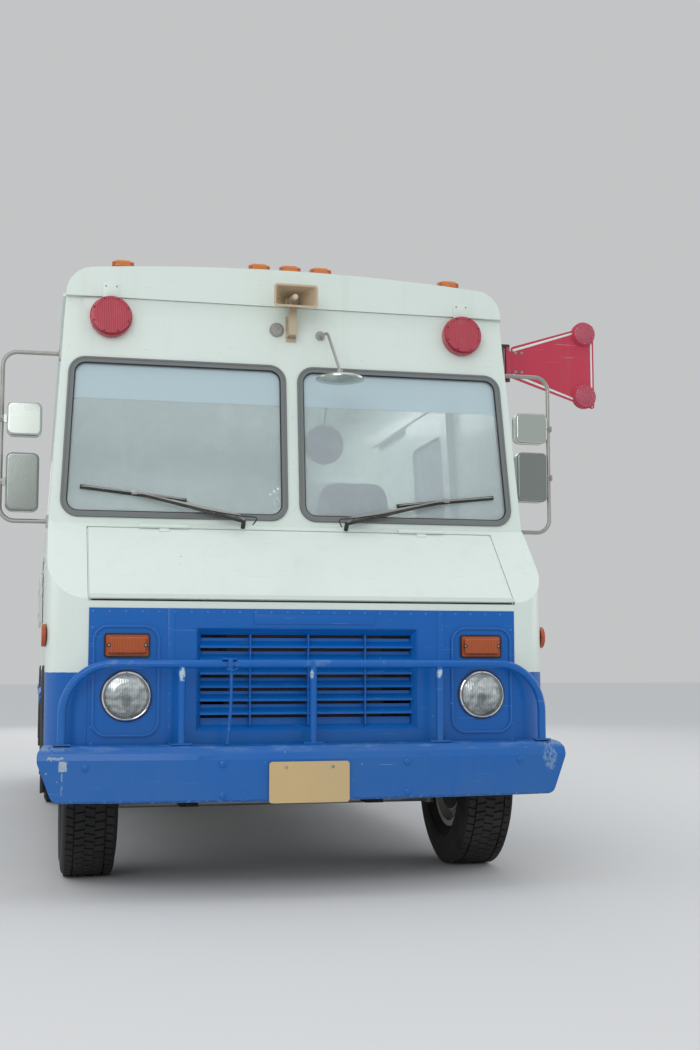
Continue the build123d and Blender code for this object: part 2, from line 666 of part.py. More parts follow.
def on_slope(along, out):
    """The (y, z) of a point up the slope and out from it."""
    point = HOOD_PLANE.from_local_coords((0, along, out))
    return point.Y, point.Z


HOOD_AXIS = on_slope(HOOD_LENGTH + 4, HINGE_R + 0.5)


def hood():
    plate = HOOD_PLANE * Pos(0, HOOD_LENGTH / 2, -HOOD_T / 2) * Box(2 * HOOD_HALF, HOOD_LENGTH, HOOD_T)
    lip = box(-HOOD_HALF, HOOD_HALF, NOSE_FACE_Y - 7, NOSE_FACE_Y + 6, LIP_Z + 2, LIP_Z + LIP_H)
    pieces = [plate, lip]
    for x0, x1 in HOOD_HINGES:
        mid = (x0 + x1) / 2
        pieces.append(rod((mid - 19.7, *HOOD_AXIS), (mid + 19.7, *HOOD_AXIS), HINGE_R))
        pieces.append(HOOD_PLANE * Pos(mid, HOOD_LENGTH - 8, 1.5) * Box(39.4, 24, 5))
    lid = fuse(*pieces)
    for x0, x1 in HOOD_HINGES:
        lid = lid - rod(((x0 + x1) / 2 - 30, *HOOD_AXIS), ((x0 + x1) / 2 + 30, *HOOD_AXIS),
                        HINGE_PIN_R + SEAT)
    return lid


# Blue front panel, grille and lamps

def bead(x0, x1, z0, z1, radius):
    """A raised border on the panel."""
    outer = rectangle(x0, x1, z0, z1, radius)
    inner = rectangle(x0 + BEAD_W, x1 - BEAD_W, z0 + BEAD_W, z1 - BEAD_W, radius - BEAD_W)
    return along_y(outer, PANEL_Y - BEAD_H, PANEL_Y + 1) - along_y(inner, PANEL_Y - BEAD_H - 1, PANEL_Y + 2)


HEADLAMP_R = 92.0
BOWL_R = 80.0
BOWL_DEPTH = 62.0


def front_panel():
    panel = box(-PANEL_HALF, PANEL_HALF, PANEL_Y, PANEL_Y + PANEL_T, PANEL_LOW_Z, PANEL_TOP_Z)
    panel = panel - box(GRILLE[0], GRILLE[1], PANEL_Y - 1, PANEL_Y + PANEL_T + 1, GRILLE[2], GRILLE[3])
    pieces = [panel]
    for side in (-1, 1):
        x0, x1, z0, z1 = LAMP_BORDER
        pieces.append(bead(min(side * x0, side * x1), max(side * x0, side * x1), z0, z1, 60))
    body = fuse(*pieces)
    for side in (-1, 1):
        body = body - rod((side * LAMP_X, PANEL_Y - 1, HEADLAMP_Z), (side * LAMP_X, PANEL_Y + 40, HEADLAMP_Z),
                          BOWL_R + SEAT)
    return body


LOUVRES = 7
LOUVRE_PITCH = 51.0
GRILLE_OPENING = (-418.0, 418.0, 626.0, 973.0)
GRILLE_RIBS = (-228.0, 0.0, 228.0)
GRILLE_DEPTH = 44.0


def grille():
    """A sunk frame with sloped edges, louvres and thin upright ribs."""
    x0, x1, z0, z1 = (GRILLE[0] + SEAT, GRILLE[1] - SEAT, GRILLE[2] + SEAT, GRILLE[3] - SEAT)
    a0, a1, b0, b1 = GRILLE_OPENING
    frame = box(x0, x1, PANEL_Y + 1, PANEL_Y + GRILLE_DEPTH, z0, z1)
    plane = Plane(origin=(0, PANEL_Y, 0), x_dir=(1, 0, 0), z_dir=(0, -1, 0))
    front = plane * rectangle(x0 + 3, x1 - 3, z0 + 3, z1 - 3)
    back = Plane(origin=(0, PANEL_Y + 26, 0), x_dir=(1, 0, 0), z_dir=(0, -1, 0)) * rectangle(a0, a1, b0, b1)
    frame = frame - loft([front, back]) - box(a0, a1, PANEL_Y + 20, PANEL_Y + GRILLE_DEPTH + 1, b0, b1)
    pieces = [frame]
    for index in range(LOUVRES - 1):
        z = b0 + LOUVRE_PITCH * (index + 1) - 6
        blade = polygon((PANEL_Y + 12, z - 4), (PANEL_Y + 15, z + 3), (PANEL_Y + 40, z + 24),
                        (PANEL_Y + 42, z + 19),
                        (PANEL_Y + 17, z - 3))
        pieces.append(along_x(blade, a0 - 4, a1 + 4))
    for x in GRILLE_RIBS:
        pieces.append(box(x - 3, x + 3, PANEL_Y + 10, PANEL_Y + 40, b0 - 2, b1 + 2))
    return fuse(*pieces)


def headlamps():
    """Sealed beams: a domed lens, a bright ring and the bowl behind."""
    lamps = []
    for side in (-1, 1):
        face = PANEL_Y - SEAT
        profile = polygon((0, face + BOWL_DEPTH), (34, face + BOWL_DEPTH), (BOWL_R, face + 8), (BOWL_R, face),
                          (HEADLAMP_R, face), (HEADLAMP_R, face - 8), (HEADLAMP_R - 6, face - 14),
                          (HEADLAMP_R - 12, face - 14), (HEADLAMP_R - 14, face - 8), (50, face - 17),
                          (0, face - 21))
        turned_face = Plane(origin=(side * LAMP_X, 0, HEADLAMP_Z), x_dir=(1, 0, 0), z_dir=(0, 0, 1)) * profile
        lamps.append(revolve(turned_face, Axis((side * LAMP_X, 0, HEADLAMP_Z), (0, 1, 0)), 360))
    return lamps


# Amber lamps: turn signals, side markers and the row on the roof's front edge

TURN_SIZE = (159.0, 79.0, 24.0)
SIDE_MARKER = (-450.0, 970.0, 44.0, 16.0)      # y, z, radius and how far it stands out
ROOF_LAMPS = (-714.0, -135.0, 0.0, 135.0, 714.0)
ROOF_LAMP_SIZE = (90.0, 40.0, 25.0)
ROOF_FRONT_Y = -182.0
ROOF_LAMP_Y = ROOF_FRONT_Y + 40.0


def roof_z(x):
    """Height of the roof's outer face."""
    return EAVE_Z + ROOF_CROWN * (1 - (x / EAVE_HALF) ** 2)


def amber_lamps():
    lamps = []
    w, h, d = TURN_SIZE
    for side in (-1, 1):
        base = along_y(rectangle(side * LAMP_X - w / 2, side * LAMP_X + w / 2, TURN_Z - h / 2,
                                 TURN_Z + h / 2, 8),
                       PANEL_Y - 8 - SEAT, PANEL_Y - SEAT)
        lens = along_y(rectangle(side * LAMP_X - w / 2 + 8, side * LAMP_X + w / 2 - 8, TURN_Z - h / 2 + 8,
                                 TURN_Z + h / 2 - 8, 8), PANEL_Y - d, PANEL_Y - 7)
        lens = chamfer(lens.faces().sort_by(Axis.Y)[0].edges(), 5)
        lamps.append(fuse(base, lens))
        y, z, radius, out = SIDE_MARKER
        wall = side * (HALF_WIDTH + SEAT)
        lamps.append(rod((wall, y, z), (wall + side * out, y, z), radius))
    w, d, h = ROOF_LAMP_SIZE
    for x in ROOF_LAMPS:
        low = roof_z(abs(x) - w / 2 if x else 0) + SEAT
        lamp = box(x - w / 2, x + w / 2, ROOF_LAMP_Y - d / 2, ROOF_LAMP_Y + d / 2, low, low + h)
        lamps.append(fillet(lamp.edges().filter_by(Axis.X).group_by(Axis.Z)[-1], 12))
    return lamps


# Windshield wall, the two screens and their rubber seals

WALL_BLANK = (-100.0, 1200.0)    # up the slope, past both ends of the wall
SCREEN_LOW_Z = 1450.0
SCREEN_TOP_Z = 2125.0
SCREEN_INNER_X = 24.0
SCREEN_OUTER = (HALF_WIDTH - 42.0, HALF_WIDTH - 71.0)    # outer x at the foot and at the top
SCREEN_RADIUS = 72.0
SEAL_LIP = 10.0                  # how far the seal laps over the wall
SEAL_W = 24.0
SEAL_PROUD = 7.0
GLASS_T = 6.0
GLASS_DEPTH = 9.0


def screen_outline(side, inset):
    low = slope(SCREEN_LOW_Z) + inset
    top = slope(SCREEN_TOP_Z) - inset
    points = ((SCREEN_INNER_X + inset, low), (SCREEN_OUTER[0] - inset, low), (SCREEN_OUTER[1] - inset, top),
              (SCREEN_INNER_X + inset, top))
    return rounded([(side * x, y) for x, y in points], SCREEN_RADIUS - inset)


def on_wall(face, depth0, depth1):
    """A shape drawn on the windshield wall, from one depth inside its face to another."""
    return extrude(RAKED.offset(-depth0) * face, depth1 - depth0, -RAKED.z_dir)


def windshield_wall():
    slab = on_wall(rectangle(-WIDE, WIDE, *WALL_BLANK), 0, FRONT_WALL)
    slab = slab & hull_block(0, wall_y(COWL_Z) - 50, 50)
    slab = slab & box(-WIDE, WIDE, NOSE_FACE_Y, DOOR_REAR_Y, COWL_Z + SEAT, ROOF_SPLIT_Z - SEAT)
    for side in (-1, 1):
        slab = slab - on_wall(screen_outline(side, SEAL_LIP), -1, FRONT_WALL + 1)
    return slab


def windshields():
    return [on_wall(screen_outline(side, SEAL_W + SEAT), GLASS_DEPTH, GLASS_DEPTH + GLASS_T)
            for side in (-1, 1)]


def windshield_seals():
    seals = []
    for side in (-1, 1):
        lip = on_wall(screen_outline(side, 0), -SEAL_PROUD, -SEAT)
        plug = on_wall(screen_outline(side, SEAL_LIP + SEAT), -1, FRONT_WALL - 8)
        hole = on_wall(screen_outline(side, SEAL_W), -SEAL_PROUD - 1, FRONT_WALL)
        seals.append(fuse(lip, plug) - hole)
    return seals


# Side walls, roof and rear wall

DOORWAY_RADIUS = 50.0
TRACK_T = 18.0
DOOR_LAP = 25.0
DOOR_T = 30.0
DOOR_TOP_LAP = 30.0
HATCH = (2050.0, 3350.0, 1425.0, 2035.0)      # serving opening: y0, y1, z0, z1
HATCH_RADIUS = 40.0
REAR_WALL_LOW_Z = 600.0
REAR_DOORWAY = (380.0, 700.0, 2060.0)         # half width, z0, z1
PLATE_HOLES = (610.0, 960.0, 177.8, 3.5)      # x and z of the middle, spacing and hole radius


def side_wall(side):
    front = NOSE_REAR_Y + SEAT
    depth = FRONT_WALL + SEAT
    meet_z = COWL_Z + (front - wall_y(COWL_Z, depth)) / tan(radians(RAKE))
    rear = BODY_REAR_Y - REAR_WALL - SEAT
    top = ROOF_SPLIT_Z - SEAT
    outline = polygon((front, SKIRT_Z), (rear, SKIRT_Z), (rear, top), (wall_y(top, depth), top),
                      (front, meet_z))
    x0, x1 = sorted((side * (HALF_WIDTH - 200), side * (HALF_WIDTH + 50)))
    shell = hull_block(0, front - 20, rear + 20) - hull_block(WALL, front - 30, rear + 30)
    wall = along_x(outline, x0, x1) & shell
    door = along_x(rectangle(DOOR_FRONT_Y, DOOR_REAR_Y, WELL_Z, DOOR_TOP_Z, DOORWAY_RADIUS), x0, x1)
    wall = wall - door - wheel_arch(0.0) - wheel_arch(WHEELBASE)
    track_z = DOOR_TOP_Z + DOOR_TOP_LAP + SEAT
    track = (hull_block(WALL - 2, DOOR_FRONT_Y - 60, POCKET_END_Y)
             - hull_block(WALL + 46, 0, POCKET_END_Y + 10))
    track = track & box(x0, x1, 0, POCKET_END_Y + 10, track_z, track_z + TRACK_T)
    wall = fuse(wall, track)
    if side < 0:
        wall = wall - along_x(rectangle(*HATCH, HATCH_RADIUS), x0, x1)
        wall = fuse(wall, *shelf_brackets())
    return wall


GUTTER_H = 12.0
GUTTER_OUT = 12.0


def roof():
    rear = BODY_REAR_Y
    cap = hull_block(0, ROOF_FRONT_Y, rear)
    cap = cap - hull_block(WALL, ROOF_FRONT_Y + WALL, rear - WALL)
    above = box(-WIDE, WIDE, ROOF_FRONT_Y - 100, rear + 100, ROOF_SPLIT_Z, EAVE_Z + 200)
    gutter = hull_block(-GUTTER_OUT, ROOF_FRONT_Y + 30, rear - 30) - hull_block(5, ROOF_FRONT_Y, rear)
    gutter = gutter & box(-WIDE, WIDE, ROOF_FRONT_Y, rear, ROOF_SPLIT_Z, ROOF_SPLIT_Z + GUTTER_H)
    return fuse(cap & above, gutter)


def rear_wall():
    slab = hull_block(0, BODY_REAR_Y - REAR_WALL, BODY_REAR_Y)
    slab = slab & box(-WIDE, WIDE, 0, 2 * BODY_REAR_Y, REAR_WALL_LOW_Z, ROOF_SPLIT_Z - SEAT)
    half, z0, z1 = REAR_DOORWAY
    slab = slab - along_y(rectangle(-half, half, z0, z1, 40), BODY_REAR_Y - REAR_WALL - 1, BODY_REAR_Y + 1)
    plate_x, plate_z, spacing, hole_r = PLATE_HOLES
    for x in (plate_x - spacing / 2, plate_x + spacing / 2):
        slab = slab - rod((x, BODY_REAR_Y - REAR_WALL - 1, plate_z), (x, BODY_REAR_Y + 1, plate_z), hole_r)
    pieces = [slab]
    x, y = REAR_HINGE
    for z in REAR_HINGE_Z:
        for a, b in ((z - 55, z - 20), (z + 20, z + 55)):
            pieces.append(rod((x, y, a), (x, y, b), HINGE_R))
            pieces.append(box(x - 50, x, BODY_REAR_Y - 1, BODY_REAR_Y + 4, a, b))
        pieces.append(rod((x, y, z - 25), (x, y, z + 25), HINGE_PIN_R))
    return fuse(*pieces)


# Rear door with its window

REAR_HINGE = (-377.0, BODY_REAR_Y + HINGE_R + 0.5)      # x, y of the hinge line
REAR_HINGE_Z = (880.0, 1380.0, 1880.0)
REAR_WINDOW = (-240.0, 240.0, 1450.0, 1900.0)
REAR_HANDLE = (REAR_DOORWAY[0] - 80.0, 1240.0, 1380.0, 45.0, 9.0)     # x, z0, z1, reach and radius


def rear_door():
    half, z0, z1 = REAR_DOORWAY
    y1 = BODY_REAR_Y
    slab = along_y(rectangle(-half + CLEAR, half - CLEAR, z0 + CLEAR, z1 - CLEAR, 36), y1 - REAR_WALL, y1)
    slab = slab - along_y(rectangle(*REAR_WINDOW, 40), y1 - REAR_WALL - 1, y1 + 1)
    x, y = REAR_HINGE
    pieces = [slab]
    for z in REAR_HINGE_Z:
        pieces.append(rod((x, y, z - 19.7), (x, y, z + 19.7), HINGE_R))
        pieces.append(box(x, x + 60, y1 - 1, y1 + 4, z - 19.7, z + 19.7))
    x, low, high, reach, thick = REAR_HANDLE
    handle = tube([(x, y1 - 2, low), (x, y1 + reach, low), (x, y1 + reach, high), (x, y1 - 2, high)],
                  [2 * thick, 2 * thick], thick)
    body = fuse(*pieces, handle)
    x, y = REAR_HINGE
    for z in REAR_HINGE_Z:
        body = body - rod((x, y, z - 30), (x, y, z + 30), HINGE_PIN_R + SEAT)
    x0, x1, w0, w1 = REAR_WINDOW
    pane = along_y(rectangle(x0 + SEAT, x1 - SEAT, w0 + SEAT, w1 - SEAT, 40 - SEAT), y1 - 24,
                   y1 - 24 + GLASS_T)
    return [body, pane]


# Cab doors, which slide back inside the walls

DOOR_WINDOW = (600.0, 1120.0, 1440.0, 1990.0)     # y0, y1, z0, z1


def cab_door(side):
    outer = WALL + CLEAR
    y0, y1 = DOOR_FRONT_Y - DOOR_LAP, DOOR_REAR_Y + DOOR_LAP
    x0, x1 = sorted((side * (HALF_WIDTH - 200), side * (HALF_WIDTH + 50)))
    slab = hull_block(outer, y0, y1) - hull_block(outer + DOOR_T, y0 - 10, y1 + 10)
    slab = slab & box(x0, x1, y0, y1, WELL_Z - 8, DOOR_TOP_Z + DOOR_TOP_LAP)
    window = along_x(rectangle(*DOOR_WINDOW, 50), x0, x1)
    w0, w1, v0, v1 = DOOR_WINDOW
    pane = hull_block(outer + 10, y0, y1) - hull_block(outer + 10 + GLASS_T, y0 - 10, y1 + 10)
    pane = pane & along_x(rectangle(w0 + SEAT, w1 - SEAT, v0 + SEAT, v1 - SEAT, 50 - SEAT), x0, x1)
    return [slab - window, pane]


# Serving window and its folding shelf, on the kerb side

FRAME_W = 36.0
MULLION_W = 40.0
SHELF = (2120.0, 3280.0, 290.0, 20.0)       # y0, y1, depth when raised, thickness
SHELF_AXIS = (-(HALF_WIDTH + 12.0), 1392.0)  # x, z


def serving_window():
    y0, y1, z0, z1 = HATCH
    x0, x1 = -HALF_WIDTH - 50, -HALF_WIDTH + 200
    depth = hull_block(-7, y0 - 60, y1 + 60) - hull_block(WALL + 8, y0 - 70, y1 + 70)
    ring = along_x(rectangle(y0 + SEAT, y1 - SEAT, z0 + SEAT, z1 - SEAT, HATCH_RADIUS - SEAT), x0, x1)
    mid = (y0 + y1) / 2
    openings = []
    for a, b in ((y0 + FRAME_W, mid - MULLION_W / 2), (mid + MULLION_W / 2, y1 - FRAME_W)):
        openings.append((a, b, z0 + FRAME_W, z1 - FRAME_W))
    for opening in openings:
        ring = ring - along_x(rectangle(*opening, 18), x0, x1)
    frame = ring & depth
    panes = []
    for a, b, c, d in openings:
        pane = hull_block(12, y0, y1) - hull_block(12 + GLASS_T, y0 - 10, y1 + 10)
        panes.append(pane & along_x(rectangle(a + SEAT, b - SEAT, c + SEAT, d - SEAT, 18 - SEAT), x0, x1))
    return [frame, *panes]


def shelf_hinge_ranges():
    y0, y1 = SHELF[0], SHELF[1]
    return [(y0 + part * (y1 - y0) - 50, y0 + part * (y1 - y0) + 50) for part in (0.12, 0.5, 0.88)]


def shelf_brackets():
    """Hinge halves screwed to the wall under the serving window."""
    x, z = SHELF_AXIS
    pieces = []
    for a, b in shelf_hinge_ranges():
        for c, d in ((a, a + 32), (b - 32, b)):
            pieces.append(rod((x, c, z), (x, d, z), HINGE_R))
            pieces.append(box(x, -HALF_WIDTH + 1, c, d, z - 4, z + 4))
            pieces.append(box(-HALF_WIDTH - 4, -HALF_WIDTH + 1, c, d, z - 30, z + 4))
        pieces.append(rod((x, a + 5, z), (x, b - 5, z), HINGE_PIN_R))
    return pieces


def serving_shelf():
    y0, y1, depth, thick = SHELF
    x, z = SHELF_AXIS
    plate = box(x - thick / 2, x + thick / 2 - 6, y0, y1, z - depth, z - HINGE_R - 4)
    pieces = [plate]
    for a, b in shelf_hinge_ranges():
        c, d = a + 32.3, b - 32.3
        pieces.append(rod((x, c, z), (x, d, z), HINGE_R))
        pieces.append(box(x - 5, x + 2, c, d, z - 22, z))
    shelf = fuse(*pieces)
    for a, b in shelf_hinge_ranges():
        shelf = shelf - rod((x, a, z), (x, b, z), HINGE_PIN_R + SEAT)
    return shelf


# Bumpers and the tubular guard

BUMPER_FACE_Y = -770.0
BUMPER_BOW = 90.0                # how far the ends sit behind the middle
BUMPER_HALF = (HALF_WIDTH + 24.0, HALF_WIDTH - 34.0)    # half width at the top and at the foot
BUMPER_Z = (353.0, 560.0)
BUMPER_T = 6.0
BUMPER_DEPTH = 100.0


def bumper_front():
    low, top = BUMPER_Z
    t = BUMPER_T
    sweep_r = (BUMPER_HALF[0] ** 2 + BUMPER_BOW ** 2) / (2 * BUMPER_BOW)
    # depth in from the face and height, round the channel
    channel = ((BUMPER_DEPTH, low), (9, low), (0, low + 9), (0, top - 52), (9, top - 28), (34, top - 5),
               (52, top),
               (BUMPER_DEPTH, top), (BUMPER_DEPTH, top - t), (54, top - t), (38, top - t - 5), (15, top - 32),
               (t, top - 54), (t, low + 12), (12, low + t), (BUMPER_DEPTH, low + t))
    axis_y = BUMPER_FACE_Y + sweep_r
    section = Plane(origin=(0, axis_y, 0), x_dir=(0, -1, 0), z_dir=(-1, 0, 0)) * polygon(
        *[(sweep_r - depth, z) for depth, z in channel])
    turn = 12.0
    section = section.rotate(Axis((0, axis_y, 0), (0, 0, 1)), -turn)
    bar = revolve(section, Axis((0, axis_y, 0), (0, 0, 1)), 2 * turn)
    half_top, half_low = BUMPER_HALF
    front = polygon((-half_low, low - 1), (half_low, low - 1), (half_top, top - 60), (half_top, top + 1),
                    (-half_top, top + 1), (-half_top, top - 60))
    front = fillet(front.vertices(), 40)
    limit = along_y(front, BUMPER_FACE_Y - 50, BUMPER_FACE_Y + 300)
    pads = []
    for side in (-1, 1):
        x0, x1 = side * (RAIL_X - 70), side * (RAIL_X + 10)
        pads.append(box(x0, x1, BUMPER_FACE_Y + 16, BUMPER_PAD_Y, BUMPER_BRACKET_LOW_Z, RAIL_TOP_Z - RAIL_H))
    return fuse(bar & limit, *pads)


GUARD_R = 16.0
GUARD_POST_R = 14.0
GUARD_TOP_Z = 860.0
GUARD_POSTS = (-501.0, 0.0, 501.0)
GUARD_Y = -690.0
GUARD_END = (HALF_WIDTH - 63.0, -648.0)


def guard_bar():
    foot_z = BUMPER_Z[1] + SEAT
    x, y = GUARD_END
    path = [(-x, y, foot_z), (-x, y, GUARD_TOP_Z), (GUARD_POSTS[0], GUARD_Y, GUARD_TOP_Z),
            (GUARD_POSTS[2], GUARD_Y, GUARD_TOP_Z), (x, y, GUARD_TOP_Z), (x, y, foot_z)]
    pieces = [tube(path, [185, 700, 700, 185], GUARD_R)]
    for post in GUARD_POSTS:
        pieces.append(rod((post, GUARD_Y, foot_z), (post, GUARD_Y, GUARD_TOP_Z - 4), GUARD_POST_R))
        pieces.append(box(post - 40, post + 40, GUARD_Y - 16, GUARD_Y + 16, foot_z, foot_z + 6))
    for side in (-1, 1):
        pieces.append(box(side * (x - 32), side * (x + 32), y - 18, y + 18, foot_z, foot_z + 6))
    return fuse(*pieces)


STEP_DEPTH = 170.0
STEP_HALF = HALF_WIDTH - 50.0


def bumper_rear():
    z0, z1 = STEP_Z
    y0 = STEP_FRONT_Y
    step = box(-STEP_HALF, STEP_HALF, y0, y0 + STEP_DEPTH, z0, z1)
    step = fillet(step.edges().filter_by(Axis.Z).group_by(Axis.Y)[-1], 60)
    step = step - box(-STEP_HALF + 8, STEP_HALF - 8, y0 + 8, y0 + STEP_DEPTH - 60, z0 - 1, z1 - 8)
    ball_hole = rod((0, y0 + STEP_DEPTH - 80, z0 - 20), (0, y0 + STEP_DEPTH - 80, z1 + 20), HITCH_HOLE_R)
    tongue = box(-60, 60, y0 + 4, y0 + STEP_DEPTH - 30, z1 - 14, z1 - 2)
    return fuse(step, tongue) - ball_hole


HITCH_HOLE_R = 12.7

# Red lamps: the two warning lamps over the screens, tail lamps at the rear

WARNING_LAMP = (HALF_WIDTH - 238.0, 2295.0, 83.0, 50.0)    # x, z, radius and depth
TAIL_X = HALF_WIDTH - 150.0
TAIL_Z = (880.0, 1010.0)
TAIL_R = 54.0
TAIL_OUT = 26.0


def red_lamps():
    lamps = []
    x, z, radius, out = WARNING_LAMP
    for side in (-1, 1):
        plane = Plane(origin=RAKED.from_local_coords((side * x, slope(z), SEAT)), x_dir=(1, 0, 0),
                      z_dir=RAKED.z_dir)
        body = extrude(plane * Circle(radius), out * 0.5, plane.z_dir)
        lens = extrude(plane.offset(out * 0.5) * Circle(radius - 6), out * 0.5, plane.z_dir)
        lens = fillet(lens.edges().sort_by(lambda e: e.center().Y)[0], 10)
        lamps.append(fuse(body, lens))
        for tail_z in TAIL_Z:
            y = BODY_REAR_Y + SEAT
            lamps.append(rod((side * TAIL_X, y, tail_z), (side * TAIL_X, y + TAIL_OUT, tail_z), TAIL_R))
    return lamps


# Horn loudspeaker over the centre post

HORN_MOUTH = (90.0, 2360.0, 2450.0, -300.0)   # half width, z0, z1, y
HORN_THROAT = (34.0, 2384.0, 2426.0, -196.0)
HORN_WALL = 5.0
HORN_FOOT_Z = 2234.0


def horn_frustum(grow, y_pad):
    faces = []
    for half, z0, z1, y in (HORN_MOUTH, HORN_THROAT):
        front = y == HORN_MOUTH[3]
        plane = Plane(origin=(0, y - (y_pad if front else 0), 0), x_dir=(1, 0, 0), z_dir=(0, -1, 0))
        faces.append(plane * rectangle(-half - grow, half + grow, z0 - grow, z1 + grow, 12))
    return loft(faces, ruled=True)


def horn_speaker():
    bell = horn_frustum(0, 0) - horn_frustum(-HORN_WALL, 1)
    half, z0, z1, y = HORN_THROAT
    driver = box(-half, half, y - 2, ROOF_FRONT_Y - SEAT, z0, z1)
    stem = box(-16, 16, y - 34, y - 14, HORN_FOOT_Z + 20, z0 + 6)
    plate = on_wall(rectangle(-22, 22, slope(HORN_FOOT_Z), slope(HORN_FOOT_Z + 110)), -8, -SEAT)
    link = box(-16, 16, y - 20, wall_y(HORN_FOOT_Z + 20) - 4, HORN_FOOT_Z + 20, HORN_FOOT_Z + 100)
    return fuse(bell, driver, stem, plate, link)


# Mirrors on tubular arms, and the round crossover mirror in front

MIRROR_BAR_R = 9.0
MIRROR_BAR = (HALF_WIDTH + 195.0, -100.0)       # x, y of the upright bar
MIRROR_ARM_Z = (1445.0, 2150.0)
CROSS_BASE = (129.0, 2267.0)        # x, z on the windshield wall
CROSS_DISC = (156.0, -450.0, 2020.0, 100.0)
CROSS_ARM_R = 6.0
# side, inner and outer edge out from the body's side, low z, top z, depth
MIRROR_HEADS = ((1, 36.0, 184.0, 1845.0, 1982.0, 46.0), (1, 39.0, 181.0, 1581.0, 1803.0, 52.0),
                (-1, 31.0, 174.0, 1797.0, 1938.0, 46.0), (-1, 39.0, 173.0, 1484.0, 1726.0, 52.0))


def mirror_arms():
    arms = []
    x, y = MIRROR_BAR
    low, high = MIRROR_ARM_Z
    for side in (-1, 1):
        feet = [side * (side_half(z) + SEAT + 6) for z in (high, low)]
        path = [(feet[0], y, high), (side * x, y, high), (side * x, y, low), (feet[1], y, low)]
        pieces = [tube(path, [60, 60], MIRROR_BAR_R)]
        for z in (high, low):
            pad = hull_block(-SEAT - 8, y - 22, y + 22) - hull_block(-SEAT, y - 30, y + 30)
            pieces.append(pad & box(side * (HALF_WIDTH - 150), side * x, y - 22, y + 22, z - 26, z + 26))
        arms.append(fuse(*pieces))
    base_x, base_z = CROSS_BASE
    foot = on_wall(Pos(base_x, slope(base_z)) * Circle(20), -8, -SEAT)
    wall = wall_y(base_z)
    disc_x, disc_y, disc_z, disc_r = CROSS_DISC
    path = [(base_x, wall - 3, base_z), (base_x + 8, wall - 120, base_z - 14), (disc_x, disc_y, disc_z + 40)]
    knob = rod((disc_x, disc_y, disc_z + 12 + SEAT), (disc_x, disc_y, disc_z + 44), 12)
    arms.append(fuse(foot, tube(path, [60], CROSS_ARM_R), knob))
    return arms


def mirror_heads():
    heads = []
    bar_x, bar_y = MIRROR_BAR
    for side, inner, outer, low, top, depth in MIRROR_HEADS:
        inner, outer = HALF_WIDTH + inner, HALF_WIDTH + outer
        x0, x1 = sorted((side * inner, side * outer))
        head = box(x0, x1, bar_y - depth / 2, bar_y + depth / 2, low, top)
        head = fillet(head.edges().filter_by(Axis.Y), 26)
        head = fillet(head.faces().sort_by(Axis.Y)[0].edges(), 10)
        mid = (low + top) / 2
        clamp = box(side * (outer - 20), side * (bar_x - MIRROR_BAR_R - SEAT), bar_y - 14, bar_y + 14,
                    mid - 16, mid + 16)
        heads.append(fuse(head, clamp))
    x, y, z, radius = CROSS_DISC
    dome = turned_z(((0, z - 12), (radius * 0.6, z - 9), (radius, z), (radius, z + 5), (radius - 8, z + 12),
                     (0, z + 12)), x, y)
    heads.append(dome)
    return heads


def turned_z(points, x, y):
    """A form turned about an upright axis at (x, y), from (radius, z) points."""
    face = Plane(origin=(x, y, 0), x_dir=(1, 0, 0), z_dir=(0, -1, 0)) * polygon(*points)
    return revolve(face, Axis((x, y, 0), (0, 0, 1)), 360)


# Wipers

WIPER_PIVOT_X = 217.0
WIPER_ARM_END = (HALF_WIDTH - 342.0, 1551.0)      # x, z
WIPER_BLADE = ((HALF_WIDTH - 553.0, 1527.0), (HALF_WIDTH - 123.0, 1575.0))  # x, z of the blade's ends


def wall_point(x, z, out):
    """A point standing out from the windshield wall."""
    return RAKED.from_local_coords((x, slope(z), out))


def wipers():
    pieces = []
    along = HOOD_LENGTH + 17
    foot = HOOD_PLANE.from_local_coords((WIPER_PIVOT_X, along, SEAT))
    head = HOOD_PLANE.from_local_coords((WIPER_PIVOT_X, along, 34))
    end = wall_point(*WIPER_ARM_END, 20)
    blade_a = wall_point(*WIPER_BLADE[0], 0)
    blade_b = wall_point(*WIPER_BLADE[1], 0)
    blade = rod(tuple(blade_a), tuple(blade_b), GLASS_DEPTH - SEAT)
    wiper = fuse(rod(tuple(foot), tuple(head), 9), rod(tuple(head - Vector(0, 0, 3)), tuple(end), 5),
                 rod(tuple(end), tuple(wall_point(*WIPER_ARM_END, 2)), 6), blade)
    return both_sides(wiper)


# Stop arm: a bracket with an upright pin, and the sign that swings on it

ARM_PIN = (HALF_WIDTH + 75.0, 100.0)      # x, y
ARM_BODY = (70.0, 130.0, 2180.0, 2330.0)  # y0, y1, z0, z1
ARM_PIN_R = 6.0
ARM_BARREL_R = 13.0
SIGN_IN = (ARM_PIN[0] + 19.0, 2187.0, 2332.0)        # x, z0, z1
SIGN_OUT = (ARM_PIN[0] + 430.0, 2053.0, 2461.0)
SIGN_T = 6.0
SIGN_LAMPS = (SIGN_OUT[0] - 51.0, (2113.0, 2412.0), 52.0, 22.0)   # x, z of each, radius and depth each side


